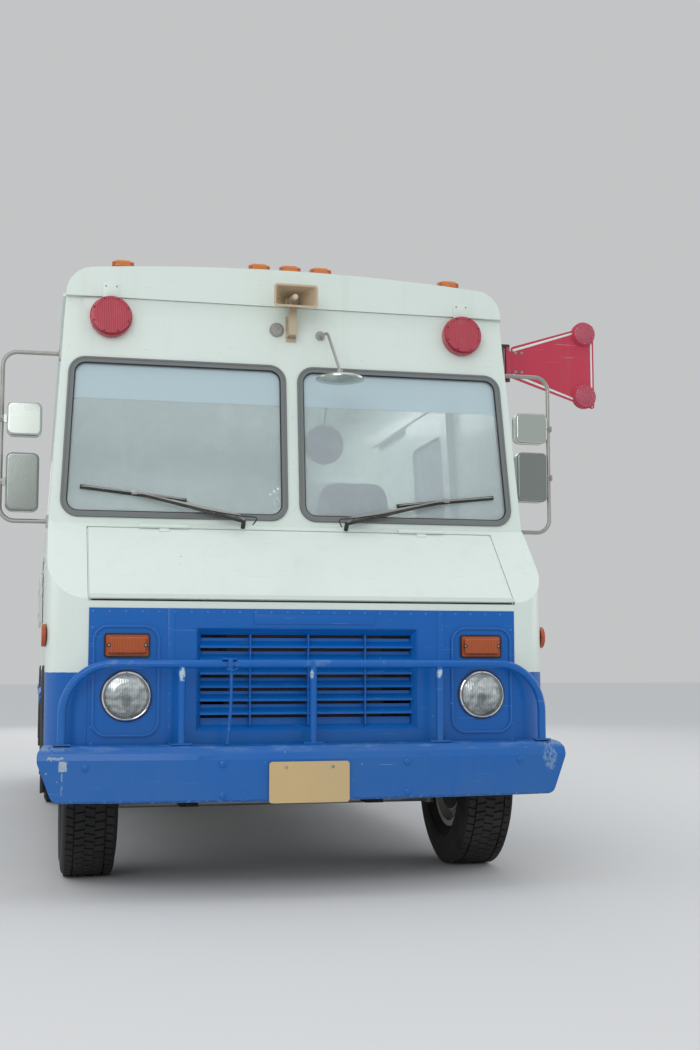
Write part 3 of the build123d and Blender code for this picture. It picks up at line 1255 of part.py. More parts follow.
def sign_bracket():
    y0, y1, z0, z1 = ARM_BODY
    pin_x, pin_y = ARM_PIN
    base = hull_block(-SEAT - 60, y0, y1) - hull_block(-SEAT, y0 - 10, y1 + 10)
    base = base & box(HALF_WIDTH - 100, pin_x - 25, y0, y1, z0, z1)
    body = box(HALF_WIDTH - 10, pin_x - 25, y0, y1, z0, z1)
    pieces = [base, body]
    for low in (z0 - 12, z1):
        pieces.append(box(HALF_WIDTH, pin_x, pin_y - 13, pin_y + 13, low, low + 12))
        pieces.append(rod((pin_x, pin_y, low), (pin_x, pin_y, low + 12), ARM_BARREL_R))
    pieces.append(rod((pin_x, pin_y, z0 - 12), (pin_x, pin_y, z1 + 12), ARM_PIN_R))
    return fuse(*pieces)


def stop_sign():
    pin_x, pin_y = ARM_PIN
    y0, y1, z0, z1 = ARM_BODY
    in_x, in_low, in_top = SIGN_IN
    out_x, out_low, out_top = SIGN_OUT
    outline = rounded(((in_x, in_low), (out_x, out_low), (out_x, out_top), (in_x, in_top)), 12)
    plate = along_y(outline, pin_y - SIGN_T / 2, pin_y + SIGN_T / 2)
    barrel = rod((pin_x, pin_y, z0 + SEAT), (pin_x, pin_y, z1 - SEAT), ARM_BARREL_R)
    web = box(pin_x, in_x + 60, pin_y - 6, pin_y + 6, in_low + 20, in_top - 20)
    pieces = [plate, barrel, web]
    x, heights, radius, out = SIGN_LAMPS
    for z in heights:
        pieces.append(rod((x, pin_y - out, z), (x, pin_y + out, z), radius))
    return fuse(*pieces) - rod((pin_x, pin_y, z0 - 5), (pin_x, pin_y, z1 + 5), ARM_PIN_R + SEAT)


# Inside: dashboard with engine cover, seat, steering wheel and galley

COVER_HALF = 340.0
COVER_REAR_Y = 292.0
COVER_TOP_Z = 1024.0
COVER_T = 8.0
DASH = (HALF_WIDTH - 60.0, -222.0, 10.0, 1150.0, 1398.0)      # half width, y0, y1, z0, z1


def dashboard():
    cover = box(-COVER_HALF, COVER_HALF, DASH[1], COVER_REAR_Y, FLOOR_Z, COVER_TOP_Z)
    cover = cover - box(-COVER_HALF + COVER_T, COVER_HALF - COVER_T, DASH[1] - 1, COVER_REAR_Y - COVER_T,
                        FLOOR_Z - 1, COVER_TOP_Z - COVER_T)
    half, y0, y1, z0, z1 = DASH
    profile = polygon((y0, z0), (y1 - 60, z0), (y1, z0 + 60), (y1 - 30, z1 - 60), (y1 - 90, z1), (y0, z1))
    panel = along_x(profile, -half, half)
    column = box(-200, 200, y0, y1 - 80, COVER_TOP_Z - 4, z0 + 4)
    return fuse(cover, panel, column)


SEAT_X = HALF_WIDTH - 475.0
SEAT_CUSHION = (200.0, 500.0, 960.0, 1115.0, 1225.0)   # half width, y0, y1, z0, z1
SEAT_BACK = (190.0, 880.0, 975.0, 1225.0, 1790.0)


def driver_seat():
    half, y0, y1, z0, z1 = SEAT_CUSHION
    base = box(SEAT_X - 140, SEAT_X + 140, y0 + 60, y1 - 100, FLOOR_Z, z0)
    cushion = box(SEAT_X - half, SEAT_X + half, y0, y1, z0, z1)
    cushion = fillet(cushion.edges(), 34)
    half, y0, y1, z0, z1 = SEAT_BACK
    back = box(SEAT_X - half, SEAT_X + half, y0, y1, z0 - 40, z1)
    back = fillet(back.edges(), 34)
    return fuse(base, cushion, back)


WHEEL_R = 215.0
WHEEL_GRIP_R = 14.0
COLUMN_FOOT = (SEAT_X + 5.0, -60.0)
COLUMN_HEAD = (SEAT_X + 5.0, 205.0, 1330.0)
COLUMN_R = 22.0


def steering_wheel():
    foot = Vector(COLUMN_FOOT[0], COLUMN_FOOT[1], HOUSE_TOP_Z)
    head = Vector(*COLUMN_HEAD)
    base = rod((foot.X, foot.Y, HOUSE_TOP_Z), (foot.X, foot.Y, HOUSE_TOP_Z + 20), 46)
    column = rod((foot.X, foot.Y, HOUSE_TOP_Z + 12), COLUMN_HEAD, COLUMN_R)
    plane = Plane(origin=head, x_dir=(1, 0, 0), z_dir=head - foot)
    rim = plane * Torus(WHEEL_R - WHEEL_GRIP_R, WHEEL_GRIP_R)
    hub = extrude(plane.offset(-20) * Circle(46), 40, plane.z_dir)
    spokes = []
    for turn in (90, 210, 330):
        spokes.append(plane * Rot(0, 0, turn) * Pos((WHEEL_R - WHEEL_GRIP_R) / 2, 0, 0) * Box(
            WHEEL_R - WHEEL_GRIP_R, 26, 8))
    return fuse(base, column, hub, rim, *spokes)


GALLEY = (HALF_WIDTH - 570.0, HALF_WIDTH - 70.0, 2000.0, 4850.0, 1600.0)     # x0, x1, y0, y1, top z
GALLEY_T = 22.0
MACHINE = (GALLEY[0] + 20.0, GALLEY[1] - 30.0, 2060.0, 2620.0, 1930.0)


def galley():
    x0, x1, y0, y1, top = GALLEY
    t = GALLEY_T
    body = box(x0, x1, y0, y1, FLOOR_Z, top) - box(x0 + t, x1 - t, y0 + t, y1 - t, FLOOR_Z - 1, top - t)
    inner, half = HOUSE_REAR
    body = body - box(x0 - 1, x1 + 1, WHEELBASE - half - 4, WHEELBASE + half + 4, 0, HOUSE_TOP_Z + SEAT)
    a0, a1, b0, b1, tall = MACHINE
    machine = box(a0, a1, b0, b1, top, tall)
    return fuse(body, machine)


VENT = (0.0, 2600.0, 200.0, 110.0)      # x, y, half width, height over the roof


def roof_vent():
    x, y, half, rise = VENT
    flange = (hull_block(-SEAT - 6, y - half - 30, y + half + 30)
              - hull_block(-SEAT, y - half - 40, y + half + 40))
    flange = flange & box(x - half - 30, x + half + 30, y - half - 30, y + half + 30, EAVE_Z, EAVE_Z + 300)
    top = EAVE_Z + ROOF_CROWN
    lid = box(x - half, x + half, y - half, y + half, top - 20, top + rise)
    lid = chamfer(lid.faces().sort_by(Axis.Z)[-1].edges(), 30)
    lid = lid - hull_block(-SEAT - 5, y - half - 10, y + half + 10)
    return fuse(flange, lid)


def main():
    write("frame", *frame_rails())
    write("crossmembers", *crossmembers(), *frame_brackets())
    write("front_axle", front_axle())
    write("rear_axle", rear_axle())
    write("leaf_springs", *leaf_springs())
    write("engine", *engine())
    write("fuel_tank", fuel_tank())
    write("exhaust", exhaust())
    write("floor", floor())
    write("wheel_houses", *wheel_houses())
    write("step_wells", *step_wells())
    write("nose", nose())
    write("hood", hood())
    write("front_panel", front_panel())
    write("grille", grille())
    write("headlamps", *headlamps())
    write("amber_lamps", *amber_lamps())
    write("red_lamps", *red_lamps())
    write("windshield_wall", windshield_wall())
    write("windshields", *windshields())
    write("windshield_seals", *windshield_seals())
    write("side_left", side_wall(1))
    write("side_right", side_wall(-1))
    write("roof", roof())
    write("roof_vent", roof_vent())
    write("rear_wall", rear_wall())
    write("rear_door", *rear_door())
    write("cab_door_left", *cab_door(1))
    write("cab_door_right", *cab_door(-1))
    write("serving_window", *serving_window())
    write("serving_shelf", serving_shelf())
    write("bumper_front", bumper_front())
    write("guard_bar", guard_bar())
    write("bumper_rear", bumper_rear())
    write("horn_speaker", horn_speaker())
    write("mirror_arms", *mirror_arms())
    write("mirror_heads", *mirror_heads())
    write("wipers", *wipers())
    write("sign_bracket", sign_bracket())
    write("stop_sign", stop_sign())
    write("dashboard", dashboard())
    write("driver_seat", driver_seat())
    write("steering_wheel", steering_wheel())
    write("galley", galley())

    corner = {"knuckle": [knuckle()], "front_wheel": [front_wheel()], "rear_wheels": [rear_wheels()]}
    corner["front_tyre"] = [tyre(FRONT_TRACK_HALF, 0)]
    corner["rear_tyres"] = [tyre(x, WHEELBASE) for x in (REAR_OUTER_X, REAR_OUTER_X - TWIN_SPACING)]
    for name, solids in corner.items():
        write(f"{name}_left", *solids)
        write(f"{name}_right", *[mirror(solid, Plane.YZ) for solid in solids])
    write("tie_rod", tie_rod())


if __name__ == "__main__":
    main()
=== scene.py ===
import math

import bmesh
import bpy
from mathutils import Matrix, Vector


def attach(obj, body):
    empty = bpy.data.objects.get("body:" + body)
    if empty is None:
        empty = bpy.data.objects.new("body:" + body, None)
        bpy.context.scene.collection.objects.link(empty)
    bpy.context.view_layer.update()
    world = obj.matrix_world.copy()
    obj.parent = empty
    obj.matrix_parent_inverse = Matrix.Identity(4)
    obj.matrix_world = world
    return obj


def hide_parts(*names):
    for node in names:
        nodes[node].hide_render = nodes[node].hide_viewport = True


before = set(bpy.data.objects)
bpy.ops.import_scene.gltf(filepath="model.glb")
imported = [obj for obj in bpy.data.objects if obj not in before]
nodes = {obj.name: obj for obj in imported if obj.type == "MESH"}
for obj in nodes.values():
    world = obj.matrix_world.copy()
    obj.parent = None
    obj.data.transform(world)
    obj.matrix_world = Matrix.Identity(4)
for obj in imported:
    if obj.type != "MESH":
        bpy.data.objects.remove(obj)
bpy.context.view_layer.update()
print("frame loaded:", len(nodes), "nodes")


# Shader maths: a socket that takes part in sums

class Val:
    def __init__(self, tree, socket):
        self.tree = tree
        self.socket = socket

    def calc(self, operation, *others, first=None):
        node = self.tree.nodes.new("ShaderNodeMath")
        node.operation = operation
        terms = [self, *others] if first is None else [first, self]
        for slotIn, term in zip(node.inputs, terms):
            if isinstance(term, Val):
                self.tree.links.new(term.socket, slotIn)
            else:
                slotIn.default_value = term
        return Val(self.tree, node.outputs[0])

    def __add__(self, other): return self.calc("ADD", other)
    def __radd__(self, other): return self.calc("ADD", other)
    def __sub__(self, other): return self.calc("SUBTRACT", other)
    def __rsub__(self, other): return self.calc("SUBTRACT", first=other)
    def __mul__(self, other): return self.calc("MULTIPLY", other)
    def __rmul__(self, other): return self.calc("MULTIPLY", other)
    def __gt__(self, other): return self.calc("GREATER_THAN", other)
    def __lt__(self, other): return self.calc("LESS_THAN", other)
    def __abs__(self): return self.calc("ABSOLUTE")
    def power(self, other): return self.calc("POWER", other)
    def smaller(self, other): return self.calc("MINIMUM", other)
    def larger(self, other): return self.calc("MAXIMUM", other)

    def clip(self):
        return self.larger(0.0).smaller(1.0)

    def between(self, low, high):      # 0 at low, 1 at high, smooth
        node = self.tree.nodes.new("ShaderNodeMapRange")
        node.interpolation_type = "SMOOTHSTEP"
        self.tree.links.new(self.socket, node.inputs["Value"])
        node.inputs["From Min"].default_value = low
        node.inputs["From Max"].default_value = high
        return Val(self.tree, node.outputs["Result"])


class Finish:
    # one material, with its principled shader at hand
    def __init__(self, name, **fixed):
        self.material = bpy.data.materials.new(name)
        self.material.use_nodes = True
        self.tree = self.material.node_tree
        self.shader = self.tree.nodes["Principled BSDF"]
        self.coords = self.node("ShaderNodeTexCoord", out="Object")
        for key, value in fixed.items():
            self.put(key, value)

    def node(self, kind, settings=None, out=0, **sockets):
        node = self.tree.nodes.new(kind)
        for key, value in (settings or {}).items():
            if key == "stops":
                ramp = node.color_ramp
                while len(ramp.elements) < len(value):
                    ramp.elements.new(0.5)
                for element, (place, colour) in zip(ramp.elements, value):
                    element.position = place
                    element.color = colour if len(colour) == 4 else (*colour, 1)
            else:
                setattr(node, key, value)
        for key, value in sockets.items():
            target = node.inputs[int(key[2:]) if key.startswith("i_") else key.replace("_", " ")]
            if isinstance(value, Val):
                self.tree.links.new(value.socket, target)
            else:
                target.default_value = value
        return Val(self.tree, node.outputs[out])

    def put(self, key, value):
        names = {"colour": "Base Color", "rough": "Roughness", "metal": "Metallic", "coat": "Coat Weight",
                 "coatRough": "Coat Roughness", "normal": "Normal", "specular": "Specular IOR Level",
                 "under": "Subsurface Weight"}
        target = self.shader.inputs[names[key]]
        if isinstance(value, Val):
            self.tree.links.new(value.socket, target)
        elif key == "colour":
            target.default_value = (*value, 1)
        else:
            target.default_value = value

    def axis(self, letter):
        return self.node("ShaderNodeSeparateXYZ", out=letter, Vector=self.coords)

    def stretched(self, scale):
        return self.node("ShaderNodeMapping", Vector=self.coords, Scale=scale)

    def noise(self, scale, detail=4.0, rough=0.5, vector=None, warp=0.0):
        return self.node("ShaderNodeTexNoise", Vector=vector or self.coords, Scale=scale, Detail=detail,
                         Roughness=rough, Distortion=warp)

    def cells(self, scale):
        return self.node("ShaderNodeTexVoronoi", out="Distance", Vector=self.coords, Scale=scale)

    def mix(self, mask, a, b):
        node = self.tree.nodes.new("ShaderNodeMix")
        node.data_type = "RGBA"
        for index, value in ((0, mask), (6, a), (7, b)):
            if isinstance(value, Val):
                self.tree.links.new(value.socket, node.inputs[index])
            elif index:
                node.inputs[index].default_value = (*value, 1)
            else:
                node.inputs[index].default_value = value
        return Val(self.tree, node.outputs[2])

    def bump(self, height, strength=0.3, distance=0.002, normal=None):
        extra = {"Normal": normal} if normal else {}
        return self.node("ShaderNodeBump", Height=height, Strength=strength, Distance=distance, **extra)


def enamel(name, colour, dust, chipColour, settings, wear=None):
    # aged gloss paint: chalky patches, dirt that gathers low down, streaks and small chips
    paint = Finish(name, coatRough=0.12, specular=settings.get("specular", 0.4))
    z = paint.axis("Z")
    patch = paint.noise(1.6, 5.0, 0.6)
    streak = paint.noise(3.0, 6.0, 0.65, paint.stretched((5.0, 5.0, 0.35)))
    fine = paint.noise(60.0, 3.0, 0.6)
    low = 1 - z.between(settings["dirtFrom"], settings["dirtTo"])
    chalk = patch.between(0.45, 0.75) * settings["chalk"]
    grime = streak.between(0.5, 0.78) * settings["streak"]
    grime = (grime + low * patch.between(0.3, 0.7) * settings["low"]).clip()
    chips = (paint.cells(34.0) + paint.noise(5.0, 3.0) * 1.4) < settings["chip"]
    base, pale = colour(paint) if callable(colour) else (colour, 1.0)
    chalk = chalk * pale
    scratch = paint.noise(9.0, 2.0, 0.5, paint.stretched((0.6, 0.6, 22.0)), 0.4)
    scratch = scratch.between(0.70, 0.735) * settings["scratch"] * (0.35 + 0.65 * pale)
    body = paint.mix(chalk, base, settings["chalkColour"])
    body = paint.mix(grime, body, paint.mix(pale, (0.05, 0.11, 0.24), dust))
    body = paint.mix(scratch, body, settings["scratchColour"])
    body = paint.mix(chips, body, chipColour)
    if wear:
        worn, bare = wear(paint)
        body = paint.mix(worn, body, bare)
        chips = (chips + worn).clip()
    paint.put("colour", body)
    paint.put("rough", (settings.get("rough", 0.26) + patch * 0.16 + grime * 0.35 + scratch * 0.2
                        + chips * 0.3).clip())
    paint.put("coat", ((settings.get("coat", 0.45) - grime * 0.4 - chips * 0.4).clip() * (0.2 + 0.8 * pale)))
    wave = paint.noise(1.1, 1.0, 0.4)
    peel = paint.bump(fine, 0.08, 0.0006)
    dented = paint.bump(wave, settings["wave"], 0.02, peel)
    paint.put("normal", paint.bump(1 - chips, 0.5, 0.0006, dented))
    return paint.material


whiteTone = (0.690, 0.775, 0.715)
blueTone = (0.0, 0.112, 0.430)
blueLine = 0.830             # height of the seam between blue and white


def twoTone(paint):
    edge = paint.noise(40.0, 2.0, 0.5) * 0.003
    above = (paint.axis("Z") + edge) > blueLine
    return paint.mix(above, blueTone, whiteTone), above


def near(paint, x, y, z, reach, soft=0.4, scale=(1, 1, 1)):
    # 1 at a place, fading to 0 at the reach with a ragged edge
    shifted = paint.node("ShaderNodeMapping", Vector=paint.coords, Scale=scale,
                         Location=(-x * scale[0], -y * scale[1], -z * scale[2]))
    far = paint.node("ShaderNodeVectorMath", {"operation": "LENGTH"}, out=1, i_0=shifted)
    ragged = paint.noise(38.0, 4.0, 0.6) * reach * soft
    return 1 - (far + ragged).between(reach, reach * 1.25)


def within(value, low, high, soft):
    return value.between(low - soft, low + soft) * (1 - value.between(high - soft, high + soft))


def bumperWear(paint):
    # bare patches at the ends, a pale top edge that is partly rubbed paint and partly painted highlight, and
    # nicks along the foot
    grit = paint.noise(70.0, 4.0, 0.65)
    z, x = paint.axis("Z"), paint.axis("X")
    rubbedAndHighlit = paint.noise(7.0, 4.0, 0.6, paint.stretched((1.0, 1.0, 5.0))).between(0.50, 0.62)
    # the pale top band: rubbed paint and painted sky highlight
    top = z.between(0.527, 0.552) * rubbedAndHighlit
    foot = (1 - z.between(0.356, 0.368)) * (grit.between(0.56, 0.62))
    shift = (paint.noise(42.0, 4.0, 0.6) - 0.5) * 0.022
    left = within(x + shift, -0.945, -0.915, 0.002) * within(z + shift, 0.470, 0.505, 0.002)
    upper = within(x + shift, -0.985, -0.930, 0.002) * within(z + shift, 0.512, 0.520, 0.002)
    left = left.larger(upper * 0.8)
    line = within(x + shift * 0.3, -0.936, -0.931, 0.002) * within(z, 0.385, 0.470, 0.004)
    line = line * grit.between(0.42, 0.52)
    right = near(paint, 0.955, -0.70, 0.50, 0.040, 0.8, (1.0, 0.5, 0.6)) * grit.between(0.42, 0.55)
    ends = abs(x).between(0.86, 1.0) * z.between(0.535, 0.55) * grit.between(0.40, 0.5)
    mask = (top * 0.16 + foot * 0.5 + left * 0.85 + line * 0.6 + right * 0.45 + ends * 0.5).clip()
    bare = paint.mix(grit.between(0.4, 0.65), (0.44, 0.50, 0.48), (0.25, 0.42, 0.58))
    return mask, bare


def guardWear(paint):
    # chipped paint where the uprights meet the bar and along the top of the bar
    grit = paint.noise(80.0, 4.0, 0.65)
    z = paint.axis("Z")
    joints = near(paint, -0.500, -0.735, 0.822, 0.022, 0.9, (1.0, 0.3, 0.6))
    for place in (-0.010, 0.500):
        joints = joints.larger(near(paint, place, -0.735, 0.822, 0.020, 0.9, (1.0, 0.3, 0.6)))
    bar = z.between(0.846, 0.856) * paint.noise(6.0, 5.0, 0.7).between(0.55, 0.66)
    return (joints * grit.between(0.35, 0.5) + bar * 0.16).clip(), (0.46, 0.58, 0.66)


whiteAge = {"specular": 0.3, "dirtFrom": 0.4, "dirtTo": 1.5, "chalk": 0.35, "streak": 0.10, "low": 0.30,
            "chip": 0.545, "scratch": 0.30, "wave": 0.10,
            "chalkColour": (0.76, 0.81, 0.76), "scratchColour": (0.46, 0.50, 0.46)}
blueAge = {"dirtFrom": 0.2, "dirtTo": 1.1, "chalk": 0.30, "streak": 0.12, "low": 0.22, "chip": 0.56,
           "scratch": 0.30, "wave": 0.08, "coat": 0.30, "specular": 0.25, "rough": 0.28,
           "chalkColour": (0.006, 0.125, 0.400), "scratchColour": (0.25, 0.40, 0.58)}


def metalFinish(name, colour, rough, stains, metallic=1.0, grain=(1, 1, 1), dirt=(0.09, 0.075, 0.06)):
    metal = Finish(name)
    cloud = metal.noise(3.0, 5.0, 0.6)
    fine = metal.noise(90.0, 2.0, 0.5, metal.stretched(grain))
    spot = cloud.between(0.62 - stains * 0.25, 0.72)
    metal.put("colour", metal.mix(spot * stains, colour, dirt))
    metal.put("metal", (metallic - spot * stains * 0.7).clip())
    metal.put("rough", (rough + fine * 0.12 + spot * 0.3 * stains).clip())
    metal.put("normal", metal.bump(fine, 0.12, 0.0006))
    return metal.material


def darkIron(name, colour, rust):
    iron = Finish(name)
    cloud = iron.noise(5.0, 6.0, 0.65)
    grit = iron.noise(55.0, 4.0, 0.6)
    bloom = iron.noise(14.0, 5.0, 0.7).between(0.52, 0.70) * rust
    dusty = iron.mix(cloud.between(0.4, 0.8) * 0.5, colour, (0.16, 0.13, 0.10))
    iron.put("colour", iron.mix(bloom, dusty, (0.17, 0.062, 0.022)))
    iron.put("rough", (0.62 + grit * 0.25).clip())
    iron.put("metal", (0.25 - bloom * 0.25).clip())
    iron.put("normal", iron.bump(grit, 0.35, 0.0015))
    return iron.material


def rubber(name, colour, dusty, scale=25.0):
    skin = Finish(name)
    cloud = skin.noise(4.0, 5.0, 0.6)
    fine = skin.noise(scale * 4, 3.0, 0.6)
    skin.put("colour", skin.mix(cloud.between(0.35, 0.75) * dusty, colour, (0.20, 0.18, 0.155)))
    skin.put("rough", (0.68 + fine * 0.2).clip())
    skin.put("normal", skin.bump(fine, 0.25, 0.0008))
    return skin.material


def moulded(name, colour, rough, dusty=0.15):
    plastic = Finish(name)
    cloud = plastic.noise(12.0, 4.0, 0.6)
    grain = plastic.noise(240.0, 2.0, 0.5)
    plastic.put("colour", plastic.mix(cloud.between(0.4, 0.8) * dusty, colour, (0.30, 0.28, 0.25)))
    plastic.put("rough", (rough + cloud * 0.12).clip())
    plastic.put("normal", plastic.bump(grain, 0.12, 0.0005))
    return plastic.material


def lens(name, colour, deep, pitch):
    # moulded lamp lens with fine ribs and a darker depth
    glass = Finish(name, coat=0.5, coatRough=0.1, under=0.15)
    ribs = (glass.axis("X") * (2 * math.pi / pitch)).calc("SINE")
    cloud = glass.noise(18.0, 4.0, 0.6)
    shade = glass.mix((ribs * 0.5 + 0.5).clip() * 0.6, deep, colour)
    glass.put("colour", glass.mix(cloud.between(0.5, 0.8) * 0.15, shade, (0.45, 0.25, 0.20)))
    glass.put("rough", (0.22 + cloud * 0.2).clip())
    glass.put("normal", glass.bump(ribs, 0.45, 0.0012))
    return glass.material


def sealedBeam(name):
    # clear lamp face: pressed blocks, a bright bowl behind, painted highlight towards the top and a painted
    # shadow of the bulb
    glass = Finish(name, coat=0.6, coatRough=0.04, rough=0.12)
    across = abs(glass.axis("X")) - headlamp["x"]
    up = glass.axis("Z") - headlamp["z"]
    radius = (across * across + up * up).power(0.5)
    ribs = (across * (2 * math.pi / 0.0092)).calc("SINE")
    rows = (up * (2 * math.pi / 0.0300)).calc("SINE")
    bulbShadow = 1 - ((across * across * 1.4 + (up + 0.014) * (up + 0.014)).power(0.5)).between(0.008, 0.030)
    cloud = glass.noise(22.0, 3.0, 0.6, warp=1.2)
    # tone grows towards the top as a painted highlight, and falls at the bulb's painted shadow
    tone = (0.66 + ribs * 0.045 + rows * 0.05 + (up * 3.0) + (cloud - 0.5) * 0.9 - bulbShadow * 0.36).clip()
    rimShade = radius.between(0.074, 0.086)
    tone = (tone * (1 - rimShade * 0.6)).clip()
    glass.put("colour", glass.node("ShaderNodeValToRGB", {"stops": headlamp["stops"]}, Fac=tone))
    glass.put("metal", (0.35 - bulbShadow * 0.3).clip())
    glass.put("normal", glass.bump(ribs * 0.7 + rows * 0.5, 0.3, 0.0008))
    return glass.material


headlamp = {"x": 0.700, "z": 0.740, "stops": [(0.0, (0.020, 0.022, 0.022)), (0.45, (0.20, 0.22, 0.22)),
                                             (0.75, (0.47, 0.51, 0.51)), (1.0, (0.80, 0.84, 0.82))]}


def pane(name, tint, hazeAndSheen, strip=None):
    # thin glass: clear where it faces the eye, mirror-like at a slant, with a pale film that is partly dust
    # and partly painted sky reflection
    glass = Finish(name, rough=0.04)
    dirt = glass.noise(5.0, 5.0, 0.65)
    smear = glass.noise(2.0, 6.0, 0.6, glass.stretched((3.0, 3.0, 0.6)))
    facing = glass.node("ShaderNodeFresnel", IOR=1.5)
    filmAndSheen = (hazeAndSheen + dirt.between(0.4, 0.8) * 0.07 + smear.between(0.5, 0.8) * 0.06).clip()
    share = (filmAndSheen + facing * 0.8).clip()
    glass.put("colour", tint)
    glass.put("rough", (0.03 + dirt.between(0.45, 0.8) * 0.25).clip())
    clear = glass.node("ShaderNodeBsdfTransparent", Color=(0.90, 0.93, 0.93, 1))
    if strip:
        band = glass.axis("Z") > strip
        share = share.larger(band * 0.86)
        glass.put("colour", glass.mix(band, tint, (0.515, 0.645, 0.685)))
        glass.put("rough", (0.06 + dirt.between(0.45, 0.8) * 0.2).clip())
    gloss = Val(glass.tree, glass.shader.outputs[0])
    surface = glass.node("ShaderNodeMixShader", i_0=share, i_1=clear, i_2=gloss)
    out = glass.tree.nodes["Material Output"]
    glass.tree.links.new(surface.socket, out.inputs["Surface"])
    return glass.material


sunstripZ = 1.950
finishes = {
    "bodyWhite": enamel("bodyWhite", whiteTone, (0.40, 0.38, 0.33), (0.33, 0.30, 0.27), whiteAge),
    "bodyTwoTone": enamel("bodyTwoTone", twoTone, (0.36, 0.35, 0.31), (0.30, 0.28, 0.26), whiteAge),
    "truckBlue": enamel("truckBlue", blueTone, (0.06, 0.13, 0.22), (0.20, 0.30, 0.40), blueAge),
    # lighter blue for rivet heads and the bead's crest: worn paint and painted highlight
    "wornHighlitBlue": enamel("wornHighlitBlue", (0.030, 0.165, 0.500), (0.06, 0.13, 0.22), (0.30, 0.42, 0.52),
                         blueAge),
    "bumperBlue": enamel("bumperBlue", blueTone, (0.10, 0.15, 0.20), (0.25, 0.36, 0.46), blueAge, bumperWear),
    "guardBlue": enamel("guardBlue", blueTone, (0.10, 0.15, 0.20), (0.25, 0.36, 0.46), blueAge, guardWear),
    "chassisBlack": darkIron("chassisBlack", (0.022, 0.021, 0.020), 0.5),
    "rawIron": darkIron("rawIron", (0.075, 0.068, 0.060), 0.8),
    "exhaustSteel": metalFinish("exhaustSteel", (0.30, 0.25, 0.21), 0.5, 0.8, 0.8),
    "millAluminium": metalFinish("millAluminium", (0.62, 0.63, 0.63), 0.34, 0.35, 1.0, (1, 1, 12)),
    # darker chrome for the lower mirror heads: a painted dark reflection
    "mirrorPaintedDark": metalFinish("mirrorPaintedDark", (0.30, 0.33, 0.31), 0.12, 0.45, 0.95),
    "mirrorBack": metalFinish("mirrorBack", (0.55, 0.60, 0.56), 0.16, 0.35, 0.95),
    "brushedSteel": metalFinish("brushedSteel", (0.60, 0.60, 0.58), 0.26, 0.15, 1.0, (1, 14, 1)),
    "brightChrome": metalFinish("brightChrome", (0.78, 0.79, 0.79), 0.07, 0.12, 1.0),
    "agedZinc": metalFinish("agedZinc", (0.42, 0.41, 0.39), 0.38, 0.5, 0.9),
    "wheelWhite": enamel("wheelWhite", (0.66, 0.66, 0.62), (0.22, 0.18, 0.14), (0.20, 0.13, 0.09),
                         dict(whiteAge, chip=0.60, dirtFrom=0.1, dirtTo=0.9, low=0.55, wave=0.0)),
    "tyreRubber": rubber("tyreRubber", (0.010, 0.010, 0.010), 0.14),
    "blackRubber": rubber("blackRubber", (0.018, 0.018, 0.018), 0.20),
    "greySeal": rubber("greySeal", (0.175, 0.190, 0.192), 0.25, 40.0),
    "grainedBlack": moulded("grainedBlack", (0.022, 0.022, 0.023), 0.45),
    "hornTan": enamel("hornTan", (0.54, 0.43, 0.29), (0.20, 0.16, 0.11), (0.12, 0.08, 0.05),
                      dict(whiteAge, chalk=0.2, chalkColour=(0.40, 0.33, 0.23), wave=0.0)),
    "hornCream": enamel("hornCream", (0.60, 0.53, 0.42), (0.30, 0.24, 0.16), (0.20, 0.14, 0.09),
                        dict(whiteAge, chalk=0.2, chalkColour=(0.66, 0.60, 0.50), wave=0.0)),
    "signRed": enamel("signRed", (0.52, 0.035, 0.075), (0.40, 0.20, 0.18), (0.60, 0.45, 0.42),
                      dict(whiteAge, chalk=0.35, chalkColour=(0.60, 0.10, 0.14), wave=0.03)),
    "wornVinyl": moulded("wornVinyl", (0.035, 0.036, 0.040), 0.42, 0.25),
    "darkMaroon": moulded("darkMaroon", (0.10, 0.008, 0.020), 0.3, 0.05),
    "amberLens": lens("amberLens", (0.58, 0.115, 0.0), (0.34, 0.045, 0.0), 0.0065),
    "amberCap": lens("amberCap", (0.70, 0.24, 0.03), (0.50, 0.13, 0.01), 0.0065),
    "lampPink": lens("lampPink", (0.60, 0.10, 0.17), (0.42, 0.05, 0.09), 0.0075),
    "redLens": lens("redLens", (0.62, 0.045, 0.095), (0.34, 0.012, 0.032), 0.0075),
    "flutedLens": sealedBeam("flutedLens"),
    "screenGlass": pane("screenGlass", (0.60, 0.665, 0.69), 0.42, sunstripZ),
    "windowGlass": pane("windowGlass", (0.46, 0.51, 0.53), 0.24),
    "plateCream": enamel("plateCream", (0.60, 0.43, 0.20), (0.35, 0.28, 0.18), (0.45, 0.40, 0.30),
                         dict(whiteAge, chalk=0.3, chalkColour=(0.66, 0.54, 0.32), wave=0.05)),
}

